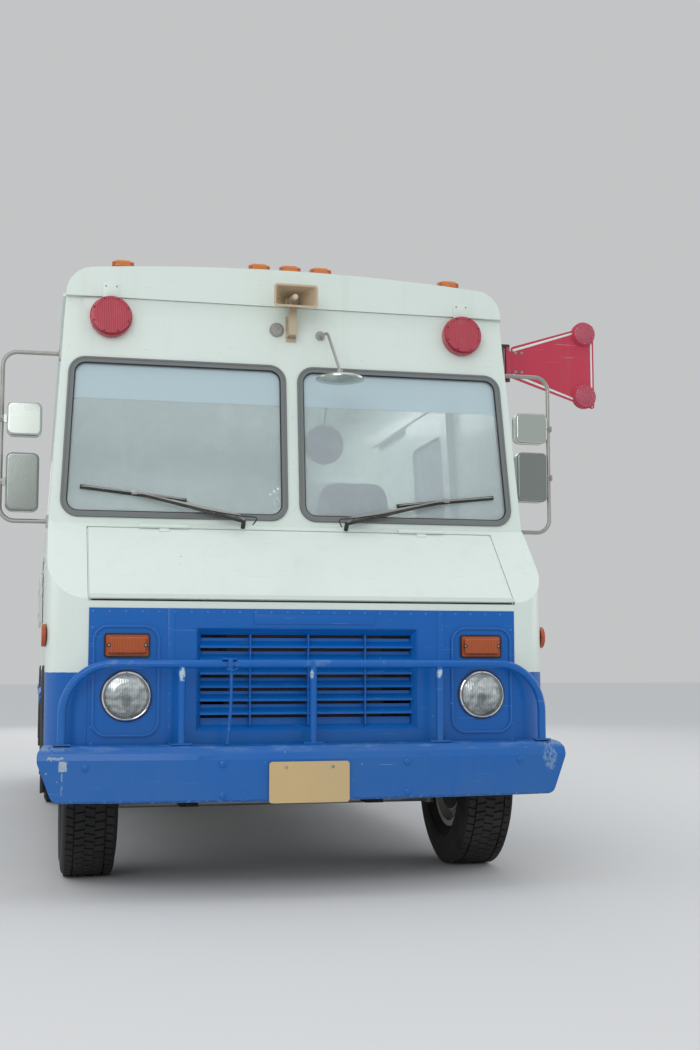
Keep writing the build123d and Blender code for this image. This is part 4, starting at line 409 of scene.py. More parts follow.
nodeFinish = {}
for finish, names in {
    "chassisBlack": "frame front_axle leaf_springs fuel_tank crossmembers",
    "rawIron": "rear_axle engine knuckle_left knuckle_right",
    "exhaustSteel": "exhaust",
    "millAluminium": "floor wheel_houses step_wells roof_vent serving_window",
    "bodyTwoTone": "nose side_left side_right rear_wall rear_door cab_door_left cab_door_right",
    "bodyWhite": "hood windshield_wall roof",
    "truckBlue": "front_panel grille bumper_rear",
    "bumperBlue": "bumper_front",
    "guardBlue": "guard_bar",
    "flutedLens": "headlamps",
    "amberLens": "amber_lamps",
    "redLens": "red_lamps",
    "signRed": "stop_sign",
    "hornTan": "horn_speaker",
    "screenGlass": "windshields",
    "greySeal": "windshield_seals",
    "brushedSteel": "serving_shelf galley",
    "agedZinc": "mirror_arms tie_rod",
    "mirrorBack": "mirror_heads",
    "grainedBlack": "wipers sign_bracket dashboard steering_wheel",
    "wornVinyl": "driver_seat",
    "wheelWhite": "front_wheel_left front_wheel_right rear_wheels_left rear_wheels_right",
    "tyreRubber": "front_tyre_left front_tyre_right rear_tyres_left rear_tyres_right",
}.items():
    nodeFinish.update(dict.fromkeys(names.split(), finish))
for name, obj in nodes.items():
    obj.data.materials.clear()
    obj.data.materials.append(finishes[nodeFinish[name]])


def inRounded(a, b, window, radius):
    a0, a1, b0, b1 = window
    if not (a0 < a < a1 and b0 < b < b1):
        return False
    da = max(a0 + radius - a, a - a1 + radius, 0.0)
    db = max(b0 + radius - b, b - b1 + radius, 0.0)
    return math.hypot(da, db) < radius or da == 0.0 or db == 0.0


def glaze(name, axis, windows, radius):
    # the panes of a node that also holds the frame round them
    mesh = nodes[name].data
    mesh.materials.append(finishes["windowGlass"])
    for face in mesh.polygons:
        if abs(face.normal[axis]) > 0.9:
            across = face.center.y if axis == 0 else face.center.x
            if any(inRounded(across, face.center.z, window, radius) for window in windows):
                face.material_index = 1


def paintLowerHeadsDark():
    # the lower mirror heads get a darker chrome colour: a painted dark reflection
    mesh = nodes["mirror_heads"].data
    mesh.materials.append(finishes["mirrorPaintedDark"])
    for face in mesh.polygons:
        if face.center.z < 1.800 and abs(face.center.x) > 1.0:
            face.material_index = 1


paintLowerHeadsDark()
doorWindow = (0.600, 1.120, 1.440, 1.990)
rearWindow = (-0.240, 0.240, 1.450, 1.900)
servingPanes = [(2.086, 2.680, 1.461, 1.999), (2.720, 3.314, 1.461, 1.999)]
glaze("cab_door_left", 0, [doorWindow], 0.050)
glaze("cab_door_right", 0, [doorWindow], 0.050)
glaze("rear_door", 1, [rearWindow], 0.040)
glaze("serving_window", 0, servingPanes, 0.018)


def lineInside(name, axis, inward):
    # the inner face of a wall or door is plain white down to the floor
    mesh = nodes[name].data
    mesh.materials.append(finishes["bodyWhite"])
    for face in mesh.polygons:
        if face.normal[axis] * inward > 0.5 and face.material_index == 0:
            face.material_index = len(mesh.materials) - 1


for name, axis, inward in (("side_left", 0, -1), ("side_right", 0, 1), ("cab_door_left", 0, -1),
                           ("cab_door_right", 0, 1), ("rear_wall", 1, -1), ("rear_door", 1, -1)):
    lineInside(name, axis, inward)
print("finishes on the nodes")


# Making meshes

def addObject(name, data):
    obj = bpy.data.objects.new(name, data)
    bpy.context.scene.collection.objects.link(obj)
    return obj


def spread(a, b, count):
    # evenly spaced values from a to b, both included
    return [a + (b - a) * k / count for k in range(count + 1)]


class Build:
    # gathers simple solids into one mesh
    def __init__(self):
        self.bm = bmesh.new()

    def corners(self, places):
        return [self.bm.verts.new(place) for place in places]

    def skin(self, rows, around=False, along=False):
        # faces between rows of corners; around closes each row, along joins the last row to the first
        for first, second in zip(rows, rows[1:] + (rows[:1] if along else [])):
            for i in range(len(first) - (0 if around else 1)):
                j = (i + 1) % len(first)
                self.bm.faces.new((first[i], first[j], second[j], second[i]))

    def block(self, low, high, round=0.0, turn=None, pivot=None):
        low, high = Vector(low), Vector(high)
        size = high - low
        centre = (low + high) / 2
        scale = Matrix.Diagonal((abs(size.x), abs(size.y), abs(size.z), 1))
        made = bmesh.ops.create_cube(self.bm, size=1, matrix=Matrix.Translation(centre) @ scale)
        verts = made["verts"]
        if round:
            edges = list(dict.fromkeys(e for v in verts for e in v.link_edges))
            made = bmesh.ops.bevel(self.bm, geom=edges, offset=round, segments=2, profile=0.6, affect="EDGES",
                                   clamp_overlap=True)
            verts = made["verts"]
        if turn is not None:
            at = Vector(pivot) if pivot is not None else centre
            bmesh.ops.transform(self.bm, verts=list(set(verts)), space=Matrix.Identity(4),
                                matrix=Matrix.Translation(at) @ turn.to_4x4() @ Matrix.Translation(-at))

    def rod(self, a, b, r1, r2=None, segments=16):
        a, b = Vector(a), Vector(b)
        turn = (b - a).to_track_quat("Z", "Y").to_matrix().to_4x4()
        bmesh.ops.create_cone(self.bm, cap_ends=True, segments=segments, radius1=r1,
                              radius2=r1 if r2 is None else r2, depth=(b - a).length,
                              matrix=Matrix.Translation((a + b) / 2) @ turn)

    def lathe(self, profile, base, axis, segments=32, close=False):
        # profile of (along, radius), turned about the axis from the base point
        base, axis = Vector(base), Vector(axis).normalized()
        side = axis.orthogonal().normalized()
        other = axis.cross(side)
        rings = []
        for along, radius in profile:
            turns = range(segments) if radius > 1e-6 else (0,)
            rings.append(self.corners(
                base + axis * along + (side * math.cos(a) + other * math.sin(a)) * radius
                for a in (2 * math.pi * i / segments for i in turns)))
        pairs = list(zip(rings, rings[1:])) + ([(rings[-1], rings[0])] if close else [])
        for first, second in pairs:
            for i in range(segments):
                j = (i + 1) % segments
                a, b = first[i % len(first)], first[j % len(first)]
                c, d = second[j % len(second)], second[i % len(second)]
                corners = []
                for v in (a, b, c, d):
                    if v not in corners:
                        corners.append(v)
                if len(corners) > 2:
                    self.bm.faces.new(corners)

    def tube(self, points, radius, segments=10, steps=6):
        # a round bar through points, eased between them
        points = [Vector(p) for p in points]
        path = []
        for i in range(len(points) - 1):
            p0 = points[i - 1] if i else points[0] * 2 - points[1]
            p3 = points[i + 2] if i + 2 < len(points) else points[-1] * 2 - points[-2]
            p1, p2 = points[i], points[i + 1]
            for k in range(steps):
                t = k / steps
                path.append(0.5 * ((2 * p1) + (p2 - p0) * t + (2 * p0 - 5 * p1 + 4 * p2 - p3) * t * t
                                   + (3 * p1 - p0 - 3 * p2 + p3) * t * t * t))
        path.append(points[-1])
        normal = None
        rings = []
        for i, point in enumerate(path):
            ahead = path[min(i + 1, len(path) - 1)] - path[max(i - 1, 0)]
            ahead.normalize()
            normal = ahead.orthogonal() if normal is None else normal - ahead * normal.dot(ahead)
            normal.normalize()
            other = ahead.cross(normal)
            rings.append(self.corners(point + (normal * math.cos(a) + other * math.sin(a)) * radius
                                      for a in (2 * math.pi * k / segments for k in range(segments))))
        self.skin(rings, around=True)
        self.bm.faces.new(list(reversed(rings[0])))
        self.bm.faces.new(rings[-1])

    def head(self, at, out, radius, height=None, segments=10):
        # a domed rivet or screw head
        height = radius * 0.5 if height is None else height
        self.lathe([(-0.0008, radius), (height * 0.35, radius * 0.94), (height * 0.8, radius * 0.62),
                    (height, 0)], at, out, segments)

    def nut(self, at, out, radius, height, bolt=True):
        out = Vector(out).normalized()
        at = Vector(at)
        self.rod(at - out * 0.001, at + out * height * 0.15, radius * 1.25, segments=20)
        self.rod(at, at + out * height, radius, segments=6)
        if bolt:
            self.rod(at, at + out * height * 1.5, radius * 0.5, segments=10)

    def outline(self, points, a, b, axis="Y"):
        # a flat outline swept from a to b along an axis; points are the other two coordinates in order
        def place(p, q, w):
            return {"X": (w, p, q), "Y": (p, w, q), "Z": (p, q, w)}[axis]
        first = self.corners(place(p, q, a) for p, q in points)
        second = self.corners(place(p, q, b) for p, q in points)
        self.skin([first, second], around=True)
        self.bm.faces.new(list(reversed(first)))
        self.bm.faces.new(second)

    def done(self, name, body, finish, slotName, crease=35):
        bmesh.ops.recalc_face_normals(self.bm, faces=self.bm.faces)
        mesh = bpy.data.meshes.new(name)
        self.bm.to_mesh(mesh)
        self.bm.free()
        mesh.shade_smooth()
        mesh.set_sharp_from_angle(angle=math.radians(crease))
        obj = addObject(name, mesh)
        mesh.materials.append(finishes[finish])
        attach(obj, body)
        return obj


def roundedBox(x0, x1, y0, y1, radius, steps=6):
    points = []
    for cx, cy, start in ((x1 - radius, y0 + radius, -90), (x1 - radius, y1 - radius, 0),
                          (x0 + radius, y1 - radius, 90), (x0 + radius, y0 + radius, 180)):
        for k in range(steps + 1):
            angle = math.radians(start + 90 * k / steps)
            points.append((cx + radius * math.cos(angle), cy + radius * math.sin(angle)))
    return points


# The body's own surfaces, for placing small parts on them
bodyShape = {"half": 1.000, "belt": 1.400, "eaveHalf": 0.940, "eave": 2.500, "crown": 0.045,
             "panelY": -0.600, "rearY": 4.950, "wallFootY": -0.274, "cowl": 1.426, "rake": 6.75,
             "roofFrontY": -0.182}


def sideX(z):
    lean = max(0.0, z - bodyShape["belt"]) / (bodyShape["eave"] - bodyShape["belt"])
    return bodyShape["half"] - (bodyShape["half"] - bodyShape["eaveHalf"]) * lean


wallRake = math.radians(bodyShape["rake"])
wallOut = Vector((0, -math.cos(wallRake), math.sin(wallRake)))


def wallY(z, out=0.0):
    return bodyShape["wallFootY"] + (z - bodyShape["cowl"]) * math.tan(wallRake) - out / math.cos(wallRake)


sideLean = math.atan2(bodyShape["half"] - bodyShape["eaveHalf"], bodyShape["eave"] - bodyShape["belt"])


def sideOut(side, z):
    if z > bodyShape["belt"]:
        return Vector((side * math.cos(sideLean), 0, math.sin(sideLean)))
    return Vector((side, 0, 0))


def roofZ(x):
    return bodyShape["eave"] + bodyShape["crown"] * (1 - (x / bodyShape["eaveHalf"]) ** 2)


# Front panel: rivets, seams and the bare name strip

panelTrim = {"half": 0.843, "border": (0.575, 0.831, 0.587, 1.009), "bead": 0.0062,
             "top": 1.072, "low": 0.560, "rivet": 0.0056, "pitch": 0.062, "seam": 0.530}


def frontPanelTrim():
    t = panelTrim
    y = bodyShape["panelY"]
    rivets = Build()
    edge, facing = 0.014, (0, -1, 0)
    x = -t["half"] + edge
    while x < t["half"]:
        rivets.head((x, y, t["top"] - edge), facing, t["rivet"])
        x += t["pitch"]
    z = t["top"] - edge - t["pitch"]
    while z > t["low"]:
        for side in (-1, 1):
            for x in (t["half"] - edge, t["seam"] + 0.009):
                rivets.head((side * x, y, z), facing, t["rivet"])
        z -= t["pitch"]
    for side in (-1, 1):
        x0, x1 = sorted((side * t["border"][0], side * t["border"][1]))
        z0, z1 = t["border"][2:]
        # the tube along the bead's crest is in the lighter blue: a painted highlight line
        crest = roundedBox(x0 + 0.006, x1 - 0.006, z0 + 0.006, z1 - 0.006, 0.054, 8)
        loop = [(p, y - t["bead"], q) for p, q in crest]
        rivets.tube(loop + [loop[0]], 0.0022, 6, 1)
    rivets.done("panelRivets", "root", "wornHighlitBlue", "blue_paint")
    # a black rubber strip under the hood's lip, darkening the line there as painted shadow
    lip = Build()
    lip.tube([(-0.836, -0.5925, 1.1022), (0.0, -0.5925, 1.1022), (0.836, -0.5925, 1.1022)], 0.0046, 8, 1)
    lip.done("hoodShadowStrip", "root", "blackRubber", "seal_rubber")
    edges = Build()
    for side in (-1, 1):
        edges.tube([(side * 0.8454, -0.5889, 1.1102), (side * 0.8454, -0.3035, 1.3992)], 0.0024, 8, 1)
    edges.done("hoodEdges", "hood", "bodyWhite", "white_paint")
    seams = Build()
    for side in (-1, 1):
        a, b = sorted((side * (t["seam"] - 0.010), side * (t["seam"] + 0.018)))
        seams.block((a, y - 0.0022, t["low"] - 0.01), (b, y + 0.001, t["top"]), 0.0006)
    strip = {"x0": -0.215, "x1": 0.265, "z0": 1.014, "z1": 1.052}     # where a name plate sits, left bare
    seams.block((strip["x0"], y - 0.0035, strip["z0"]), (strip["x1"], y + 0.001, strip["z1"]), 0.0012)
    seams.done("panelSeams", "root", "truckBlue", "blue_paint")


frontPanelTrim()

# Lamps on the panel: bright rings, gaskets and screws

lampTrim = {"x": 0.700, "headZ": 0.740, "turnZ": 0.930, "turnHalf": (0.086, 0.046), "screwRing": 0.0865,
            "turnScrew": 0.0685}


def panelLamps():
    t = lampTrim
    y = bodyShape["panelY"]
    rings, gaskets, screws = Build(), Build(), Build()
    facing = (0, -1, 0)
    for side in (-1, 1):
        x = side * t["x"]
        rings.lathe([(0.000, 0.0935), (0.010, 0.0938), (0.0155, 0.0915), (0.0170, 0.0885), (0.0165, 0.0862),
                     (0.009, 0.0850)], (x, y, t["headZ"]), facing, 56)
        gaskets.lathe([(0.0005, 0.0975), (0.0035, 0.0975), (0.0040, 0.0920)], (x, y, t["headZ"]), facing, 56)
        for k in range(3):
            angle = math.radians(90 + 120 * k)
            screws.head((x + t["screwRing"] * math.cos(angle), y - 0.0170,
                         t["headZ"] + t["screwRing"] * math.sin(angle)), facing, 0.0045)
        w, h = t["turnHalf"]
        gaskets.outline([(x + p, t["turnZ"] + q) for p, q in roundedBox(-w, w, -h, h, 0.012)],
                        y - 0.007, y + 0.0008)
        for end in (x - t["turnScrew"], x + t["turnScrew"]):
            screws.head((end, y - 0.0238, t["turnZ"]), facing, 0.0042)
            gaskets.rod((end, y - 0.0242, t["turnZ"]), (end, y - 0.020, t["turnZ"]), 0.0075, segments=20)
    rings.done("headlampRings", "root", "brightChrome", "chrome")
    gaskets.done("turnLampGaskets", "root", "blackRubber", "seal_rubber")
    screws.done("lampScrews", "root", "agedZinc", "bare_steel")


panelLamps()

# Warning lamps over the screens: on each drum with its ribbed lens, a collar, a rim and rim screws

warning = {"x": 0.762, "z": 2.295, "r": 0.083, "depth": 0.050, "screws": 8}


def warningLamps():
    collars, screws = Build(), Build()
    for side in (-1, 1):
        base = Vector((side * warning["x"], wallY(warning["z"]), warning["z"]))
        r = warning["r"]
        collars.lathe([(0.0, r + 0.002), (0.020, r + 0.002), (0.024, r + 0.0045), (0.030, r + 0.0045),
                       (0.033, r), (0.033, r - 0.006)], base, wallOut, 56)
        depth = warning["depth"]
        collars.lathe([(depth - 0.003, r - 0.0005), (depth + 0.0012, r - 0.003), (depth + 0.0016, r - 0.0125),
                       (depth - 0.0004, r - 0.0145)], base, wallOut, 56)
        up = Vector((0, wallOut.z, -wallOut.y)).normalized()
        across = Vector((1, 0, 0))
        for k in range(warning["screws"]):
            angle = 2 * math.pi * (k + 0.5) / warning["screws"]
            spoke = across * math.cos(angle) + up * math.sin(angle)
            screws.head(base + wallOut * depth + spoke * (r - 0.0075), wallOut, 0.0052, 0.0030, 12)
    collars.done("warningCollars", "root", "redLens", "red_lens")
    screws.done("warningScrews", "root", "darkMaroon", "red_lens")


warningLamps()

# Front bumper: bolts and the bare plate

bumper = {"face": -0.770, "bow": 0.090, "half": 1.024,
          "bolts": ((-0.852, 0.482), (-0.353, 0.492), (0.353, 0.492), (0.821, 0.490), (-0.353, 0.378),
                    (0.353, 0.378))}
bumperRound = (bumper["half"] ** 2 + bumper["bow"] ** 2) / (2 * bumper["bow"])
plate = {"x0": -0.183, "x1": 0.122, "z0": 0.347, "z1": 0.499}


def bumperY(x):
    return bumper["face"] + bumperRound - math.sqrt(bumperRound * bumperRound - x * x)


def bumperTrim():
    bolts = Build()
    for x, z in bumper["bolts"]:
        lean = math.asin(x / bumperRound)
        bolts.head((x, bumperY(x), z), (math.sin(lean), -math.cos(lean), 0), 0.015, 0.007, 20)
    bolts.done("bumperBolts", "root", "truckBlue", "blue_paint")
    sign = Build()
    y = bumperY(0) - 0.0075
    sign.outline(roundedBox(plate["x0"], plate["x1"], plate["z0"], plate["z1"], 0.012), y - 0.0012, y)
    sign.done("frontPlate", "root", "plateCream", "white_paint")
    fixings = Build()
    low, high = plate["z0"] + 0.010, plate["z1"] - 0.020
    for x in (-0.1195, 0.0585):
        fixings.head((x, y - 0.0012, high), (0, -1, 0), 0.0060, 0.004, 14)
        fixings.rod((x, y, high), (x, bumperY(x) + 0.004, high), 0.004, segments=8)
    for x in (plate["x0"] + 0.03, plate["x1"] - 0.03):
        fixings.block((x - 0.012, y - 0.0002, low), (x + 0.012, bumperY(x) + 0.004, low + 0.020))
    fixings.done("plateFixings", "root", "agedZinc", "bare_steel")


bumperTrim()
print("front trim made")

# Wheels: tread blocks, sidewall rings, nuts and valve stems

wheelSet = {"radius": 0.375, "width": 0.224, "rim": 0.203, "groove": 0.0085, "pitches": 64,
            "front": 0.815, "rearOuter": 0.858, "twin": 0.276, "wheelbase": 3.175}
sides = ((1, "left"), (-1, "right"))


def treadBlocks(build, x, y):
    # ribs of blocks round the tread, each rib a step round from the next
    w = wheelSet
    ribs = ((-0.078, 0.020), (-0.0385, 0.026), (0.0, 0.026), (0.0385, 0.026), (0.078, 0.020))
    centre = Vector((x, y, w["radius"]))
    for index, (offset, half) in enumerate(ribs):
        for k in range(w["pitches"]):
            start = 2 * math.pi * (k + 0.5 * (index % 2)) / w["pitches"]
            span = 2 * math.pi / w["pitches"] * 0.80
            slant = 0.12 * span * (-1 if index % 2 else 1)
            wide = half * 0.72
            low, high = (build.corners(
                centre + Vector((offset + dx, math.cos(a) * radius, math.sin(a) * radius))
                for a, dx in ((start - slant, -wide), (start + slant, wide), (start + span + slant, wide),
                              (start + span - slant, -wide)))
                for radius in (w["radius"] - w["groove"], w["radius"] + 0.0004))
            build.bm.faces.new(high)
            build.skin([low, high], around=True)


def tyreProfile():
    # from one bead round the tread to the other; the tread band lies at the groove's depth
    w = wheelSet
    half = w["width"] / 2
    side = [(0.067, w["rim"] + 0.0012), (0.070, 0.217), (0.0775, 0.224), (0.090, 0.236), (0.1035, 0.256),
            (0.1105, 0.274), (half - 0.0006, 0.286), (0.1112, 0.300), (0.1080, 0.318), (0.1050, 0.333),
            (0.1058, 0.337), (0.1050, 0.342), (0.1040, 0.352), (0.0985, 0.3630), (0.0905, 0.3690)]
    right = side + [(0.0885, w["radius"] - w["groove"])]
    return right + [(-a, r) for a, r in reversed(right)]


def makeTyre(name, body, node, places):
    rubberBody = Build()
    for x, y in places:
        rubberBody.lathe(tyreProfile(), (x, y, wheelSet["radius"]), (1, 0, 0), 96, close=True)
        treadBlocks(rubberBody, x, y)
        for side in (-1, 1):                # fine rings moulded on the sidewall
            for r in (0.247, 0.2535, 0.309):
                at = 0.0995 if r < 0.25 else (0.1035 if r < 0.26 else 0.1098)
                ring = [(at - 0.002, r - 0.0016), (at + 0.0011, r - 0.0006), (at + 0.0011, r + 0.0006),
                        (at - 0.002, r + 0.0016)]
                rubberBody.lathe(ring, (x, y, wheelSet["radius"]), (side, 0, 0), 72, close=True)
    made = rubberBody.done(name, body, "tyreRubber", "tyre", 28)
    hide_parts(node)


def wheelParts(build, x, y, out, ring, count, stud, height=0.016):
    for k in range(count):
        angle = 2 * math.pi * k / count
        at = (x, y + ring * math.cos(angle), wheelSet["radius"] + ring * math.sin(angle))
        build.nut(at, (out, 0, 0), stud, height)


def wheels():
    w = wheelSet
    for side, word in sides:
        title, frontBody, rearBody = word.title(), "front_wheel_" + word, "rear_wheels_" + word
        makeTyre("frontTyre" + title, frontBody, "front_tyre_" + word, [(side * w["front"], 0.0)])
        makeTyre("rearTyres" + title, rearBody, "rear_tyres_" + word,
                 [(side * x, w["wheelbase"]) for x in (w["rearOuter"], w["rearOuter"] - w["twin"])])
        nuts = Build()
        wheelParts(nuts, side * (w["front"] + 0.0255), 0.0, side, 0.0985, 8, 0.0125)
        nuts.lathe([(-0.002, 0.030), (0.006, 0.030), (0.009, 0.024), (0.009, 0.0)],
                   (side * (w["front"] + 0.0835), 0, w["radius"]), (side, 0, 0), 32)
        nuts.done("frontNuts" + title, frontBody, "agedZinc", "bare_steel")
        nuts = Build()
        middle = side * (w["rearOuter"] - w["twin"] / 2)
        wheelParts(nuts, middle + side * 0.0145, w["wheelbase"], side, 0.090, 8, 0.0135, 0.022)
        nuts.done("rearNuts" + title, rearBody, "agedZinc", "bare_steel")
        for name, body, at, y, reach in (("frontStem", frontBody, w["front"], 0.0, 0.024),
                                         ("rearStem", rearBody, w["rearOuter"], w["wheelbase"], -0.030)):
            stem = Build()
            stem.rod((side * (at + 0.030), y, w["radius"] + 0.186),
                     (side * (at + 0.030 + reach), y, w["radius"] + 0.172), 0.0045, segments=10)
            stem.done(name + title, body, "blackRubber", "seal_rubber")


wheels()

# Pressed wheel cover on the kerb side front wheel

coverSet = {"ribs": 24, "profile": [(0.068, 0.2155), (0.078, 0.2160), (0.0815, 0.2100), (0.0795, 0.196),
                                    (0.066, 0.180), (0.062, 0.160), (0.071, 0.140), (0.083, 0.118),
                                    (0.090, 0.090), (0.0935, 0.060), (0.095, 0.0)]}


def wheelCover():
    cover = Build()
    x, z = -wheelSet["front"], wheelSet["radius"]
    cover.lathe(coverSet["profile"], (x, 0, z), (-1, 0, 0), 72)
    for k in range(coverSet["ribs"]):
        cover.block((x - 0.0765, -0.007, z + 0.150), (x - 0.0655, 0.007, z + 0.176), 0.002,
                    Matrix.Rotation(2 * math.pi * k / coverSet["ribs"], 3, "X"), (x - 0.070, 0, z))
    cover.done("wheelCover", "front_wheel_right", "brightChrome", "chrome", 30)


wheelCover()
print("wheels made")


# Windshield trim: rivets on the centre post and over the screens, and the inside mirror

def screenTrim():
    trim = Build()
    for z in (1.50, 1.70, 1.90, 2.08):
        trim.head((0.0, wallY(z), z), wallOut, 0.0045)
    for x in (-0.93, -0.62, -0.31, 0.31, 0.62, 0.93):
        for z in (2.168, 2.365):
            if abs(abs(x) - 0.76) > 0.11 or z > 2.3:
                trim.head((x, wallY(z), z), wallOut, 0.0042)
    trim.done("screenRivets", "root", "bodyWhite", "white_paint")
    mirror = Build()
    x, top = 0.182, 2.16
    centre = Vector((x, 0.010, 1.825))
    mirror.lathe([(0.0, 0.084), (0.010, 0.090), (0.022, 0.084), (0.032, 0.050), (0.036, 0.0)],
                 centre, (0, -1, 0), 40)
    mirror.rod(centre + Vector((0, -0.02, 0.08)), (x, wallY(top) + 0.045, top), 0.0045, segments=10)
    mirror.rod((x, wallY(top) + 0.048, top), (x, wallY(top) + 0.038, top), 0.016, segments=16)
    mirror.done("insideMirror", "root", "grainedBlack", "black_plastic")
    glass = Build()
    glass.lathe([(0.0, 0.0), (0.0, 0.082), (-0.003, 0.081), (-0.004, 0.0)], centre, (0, -1, 0), 40)
    glass.done("insideMirrorGlass", "root", "brightChrome", "chrome")


screenTrim()

# Screens: a black bead at the glass and a rounded outer lip on each seal

sealSet = {"low": 1.450, "top": 2.125, "inner": 0.024, "outer": (0.958, 0.929), "radius": 0.072}


def sealPath(side, inset):
    # the seal's outline at an inset, on the raked wall
    low, top = sealSet["low"] + inset, sealSet["top"] - inset
    outerLow, outerTop = (v - inset for v in sealSet["outer"])
    inner, r = sealSet["inner"] + inset, sealSet["radius"] - inset
    corners = [(inner, low), (outerLow, low), (outerTop, top), (inner, top)]
    points = []
    for i, corner in enumerate(corners):
        here = Vector(corner)
        before, after = Vector(corners[i - 1]), Vector(corners[(i + 1) % 4])
        a, b = (before - here).normalized(), (after - here).normalized()
        half = a.angle(b) / 2
        centre = here + (a + b).normalized() * (r / math.sin(half))
        start = here + a * (r / math.tan(half)) - centre
        turn = math.pi - 2 * half
        for k in range(9):
            c, d = math.cos(turn * k / 8), math.sin(turn * k / 8)
            points.append(centre + Vector((start.x * c - start.y * d, start.x * d + start.y * c)))
    return [(side * p.x, p.y) for p in points]


def onScreen(x, z, out):
    return Vector((x, wallY(z), z)) + wallOut * out


def sealTrim():
    bead, lip = Build(), Build()
    for side in (-1, 1):
        for build, inset, out, thick in ((bead, 0.0245, 0.0010, 0.0042), (lip, 0.0050, 0.0062, 0.0048)):
            path = [onScreen(x, z, out) for x, z in sealPath(side, inset)]
            build.tube(path + [path[0]], thick, 8, 1)
    bead.done("screenBeads", "root", "blackRubber", "seal_rubber", 60)
    lip.done("screenLips", "root", "greySeal", "seal_rubber", 60)


sealTrim()

# Wipers: sprung arms, blade carriers and the hose along each arm

wiperSet = {"pivotX": 0.217, "arm": (0.658, 1.551), "blade": ((0.447, 1.527), (0.877, 1.575))}


def wiperTrim():
    for side, word in sides:
        parts = Build()
        (ax, az), (bx, bz) = wiperSet["blade"]
        a, b = onScreen(side * ax, az, 0.012), onScreen(side * bx, bz, 0.012)
        mid = onScreen(side * wiperSet["arm"][0], wiperSet["arm"][1], 0.022)
        run = (b - a).normalized()
        for start, end in ((a + run * 0.03, mid), (b - run * 0.03, mid)):
            short = end - (end - start).normalized() * 0.05
            parts.tube([start, start + wallOut * 0.006, short, end], 0.0028, 6, 4)
        for t in (0.12, 0.88):
            at = a.lerp(b, t)
            parts.tube([at - run * 0.045, at + wallOut * 0.007, at + run * 0.045], 0.0024, 6, 4)
        clip = Vector((0.014, 0.010, 0.008))
        parts.block(mid - clip, mid + clip, 0.002)
        foot = Vector((side * wiperSet["pivotX"], -0.330, 1.448))
        head = onScreen(side * (wiperSet["pivotX"] + 0.05), 1.472, 0.024)
        parts.tube([foot, foot.lerp(head, 0.5) + Vector((0, -0.006, 0.006)), head, mid], 0.0048, 8, 5)
        parts.rod(head.lerp(foot, 0.35), head.lerp(mid, 0.62), 0.0088, 0.0058, 12)
        parts.done("wiper" + word.title() + "Links", "root", "agedZinc", "black_plastic")
        hose = Build()
        offset = Vector((0, -0.008, -0.010))
        hose.tube([Vector((side * 0.185, -0.352, 1.424)), Vector((side * 0.175, -0.372, 1.452)),
                   foot.lerp(head, 0.6) + Vector((0, -0.02, 0.0)), head.lerp(mid, 0.35) + offset,
                   head.lerp(mid, 0.8) + offset, mid + offset * 0.4], 0.0026, 6, 6)
        hose.done("washerHose" + word.title(), "root", "blackRubber", "seal_rubber")


wiperTrim()

# Horn: rim of the mouth, driver plug, bolts of the foot, and the small disc beside it

hornSet = {"y": -0.300, "half": 0.090, "z0": 2.360, "z1": 2.450}


def hornTrim():
    h = hornSet
    rim = Build()
    outer = roundedBox(-h["half"] - 0.004, h["half"] + 0.004, h["z0"] - 0.004, h["z1"] + 0.004, 0.014)
    inner = roundedBox(-h["half"] + 0.004, h["half"] - 0.004, h["z0"] + 0.004, h["z1"] - 0.004, 0.009)
    for (a, b), (c, d) in zip(zip(outer, inner), zip(outer[1:] + outer[:1], inner[1:] + inner[:1])):
        front, back = (rim.corners((p[0], y, p[1]) for p in (a, b, d, c))
                       for y in (h["y"] - 0.003, h["y"] + 0.004))
        rim.bm.faces.new(front)
        rim.bm.faces.new((front[0], front[3], back[3], back[0]))
        rim.bm.faces.new((front[1], back[1], back[2], front[2]))
        rim.bm.faces.new(list(reversed(back)))
    rim.done("hornRim", "root", "hornTan", "horn_paint")
    plug = Build()
    middle = (h["z0"] + h["z1"]) / 2
    plug.lathe([(-0.010, 0.020), (0.030, 0.019), (0.058, 0.0145), (0.074, 0.0135), (0.080, 0.010),
                (0.081, 0.0)], (0, -0.208, middle), (0, -1, 0), 28)
    plug.done("hornPlug", "root", "hornCream", "horn_paint")
    disc = Build()
    base = Vector((-0.062, wallY(2.283), 2.283))
    disc.lathe([(0.0, 0.030), (0.012, 0.030), (0.017, 0.024), (0.018, 0.0)], base, wallOut, 32)
    disc.head(base + wallOut * 0.0175, wallOut, 0.006)
    disc.done("roofDisc", "root", "agedZinc", "bare_steel")
    bolts = Build()
    for dz in (0.018, 0.052, 0.086):
        for dx in (-0.015, 0.015):
            z = 2.234 + dz
            bolts.nut((dx, wallY(z) - 0.0085, z), wallOut, 0.0055, 0.005, False)
    bolts.done("hornBolts", "root", "agedZinc", "bare_steel")


hornTrim()

# Mirrors: reflecting faces, rims and arm clamps; a head is its side, x, x, z, z and depth

mirrorSet = {"bar": (1.195, -0.100),
             "heads": ((1, 1.036, 1.184, 1.845, 1.982, 0.046), (1, 1.039, 1.181, 1.581, 1.803, 0.052),
                       (-1, 1.031, 1.174, 1.797, 1.938, 0.046), (-1, 1.039, 1.173, 1.484, 1.726, 0.052))}


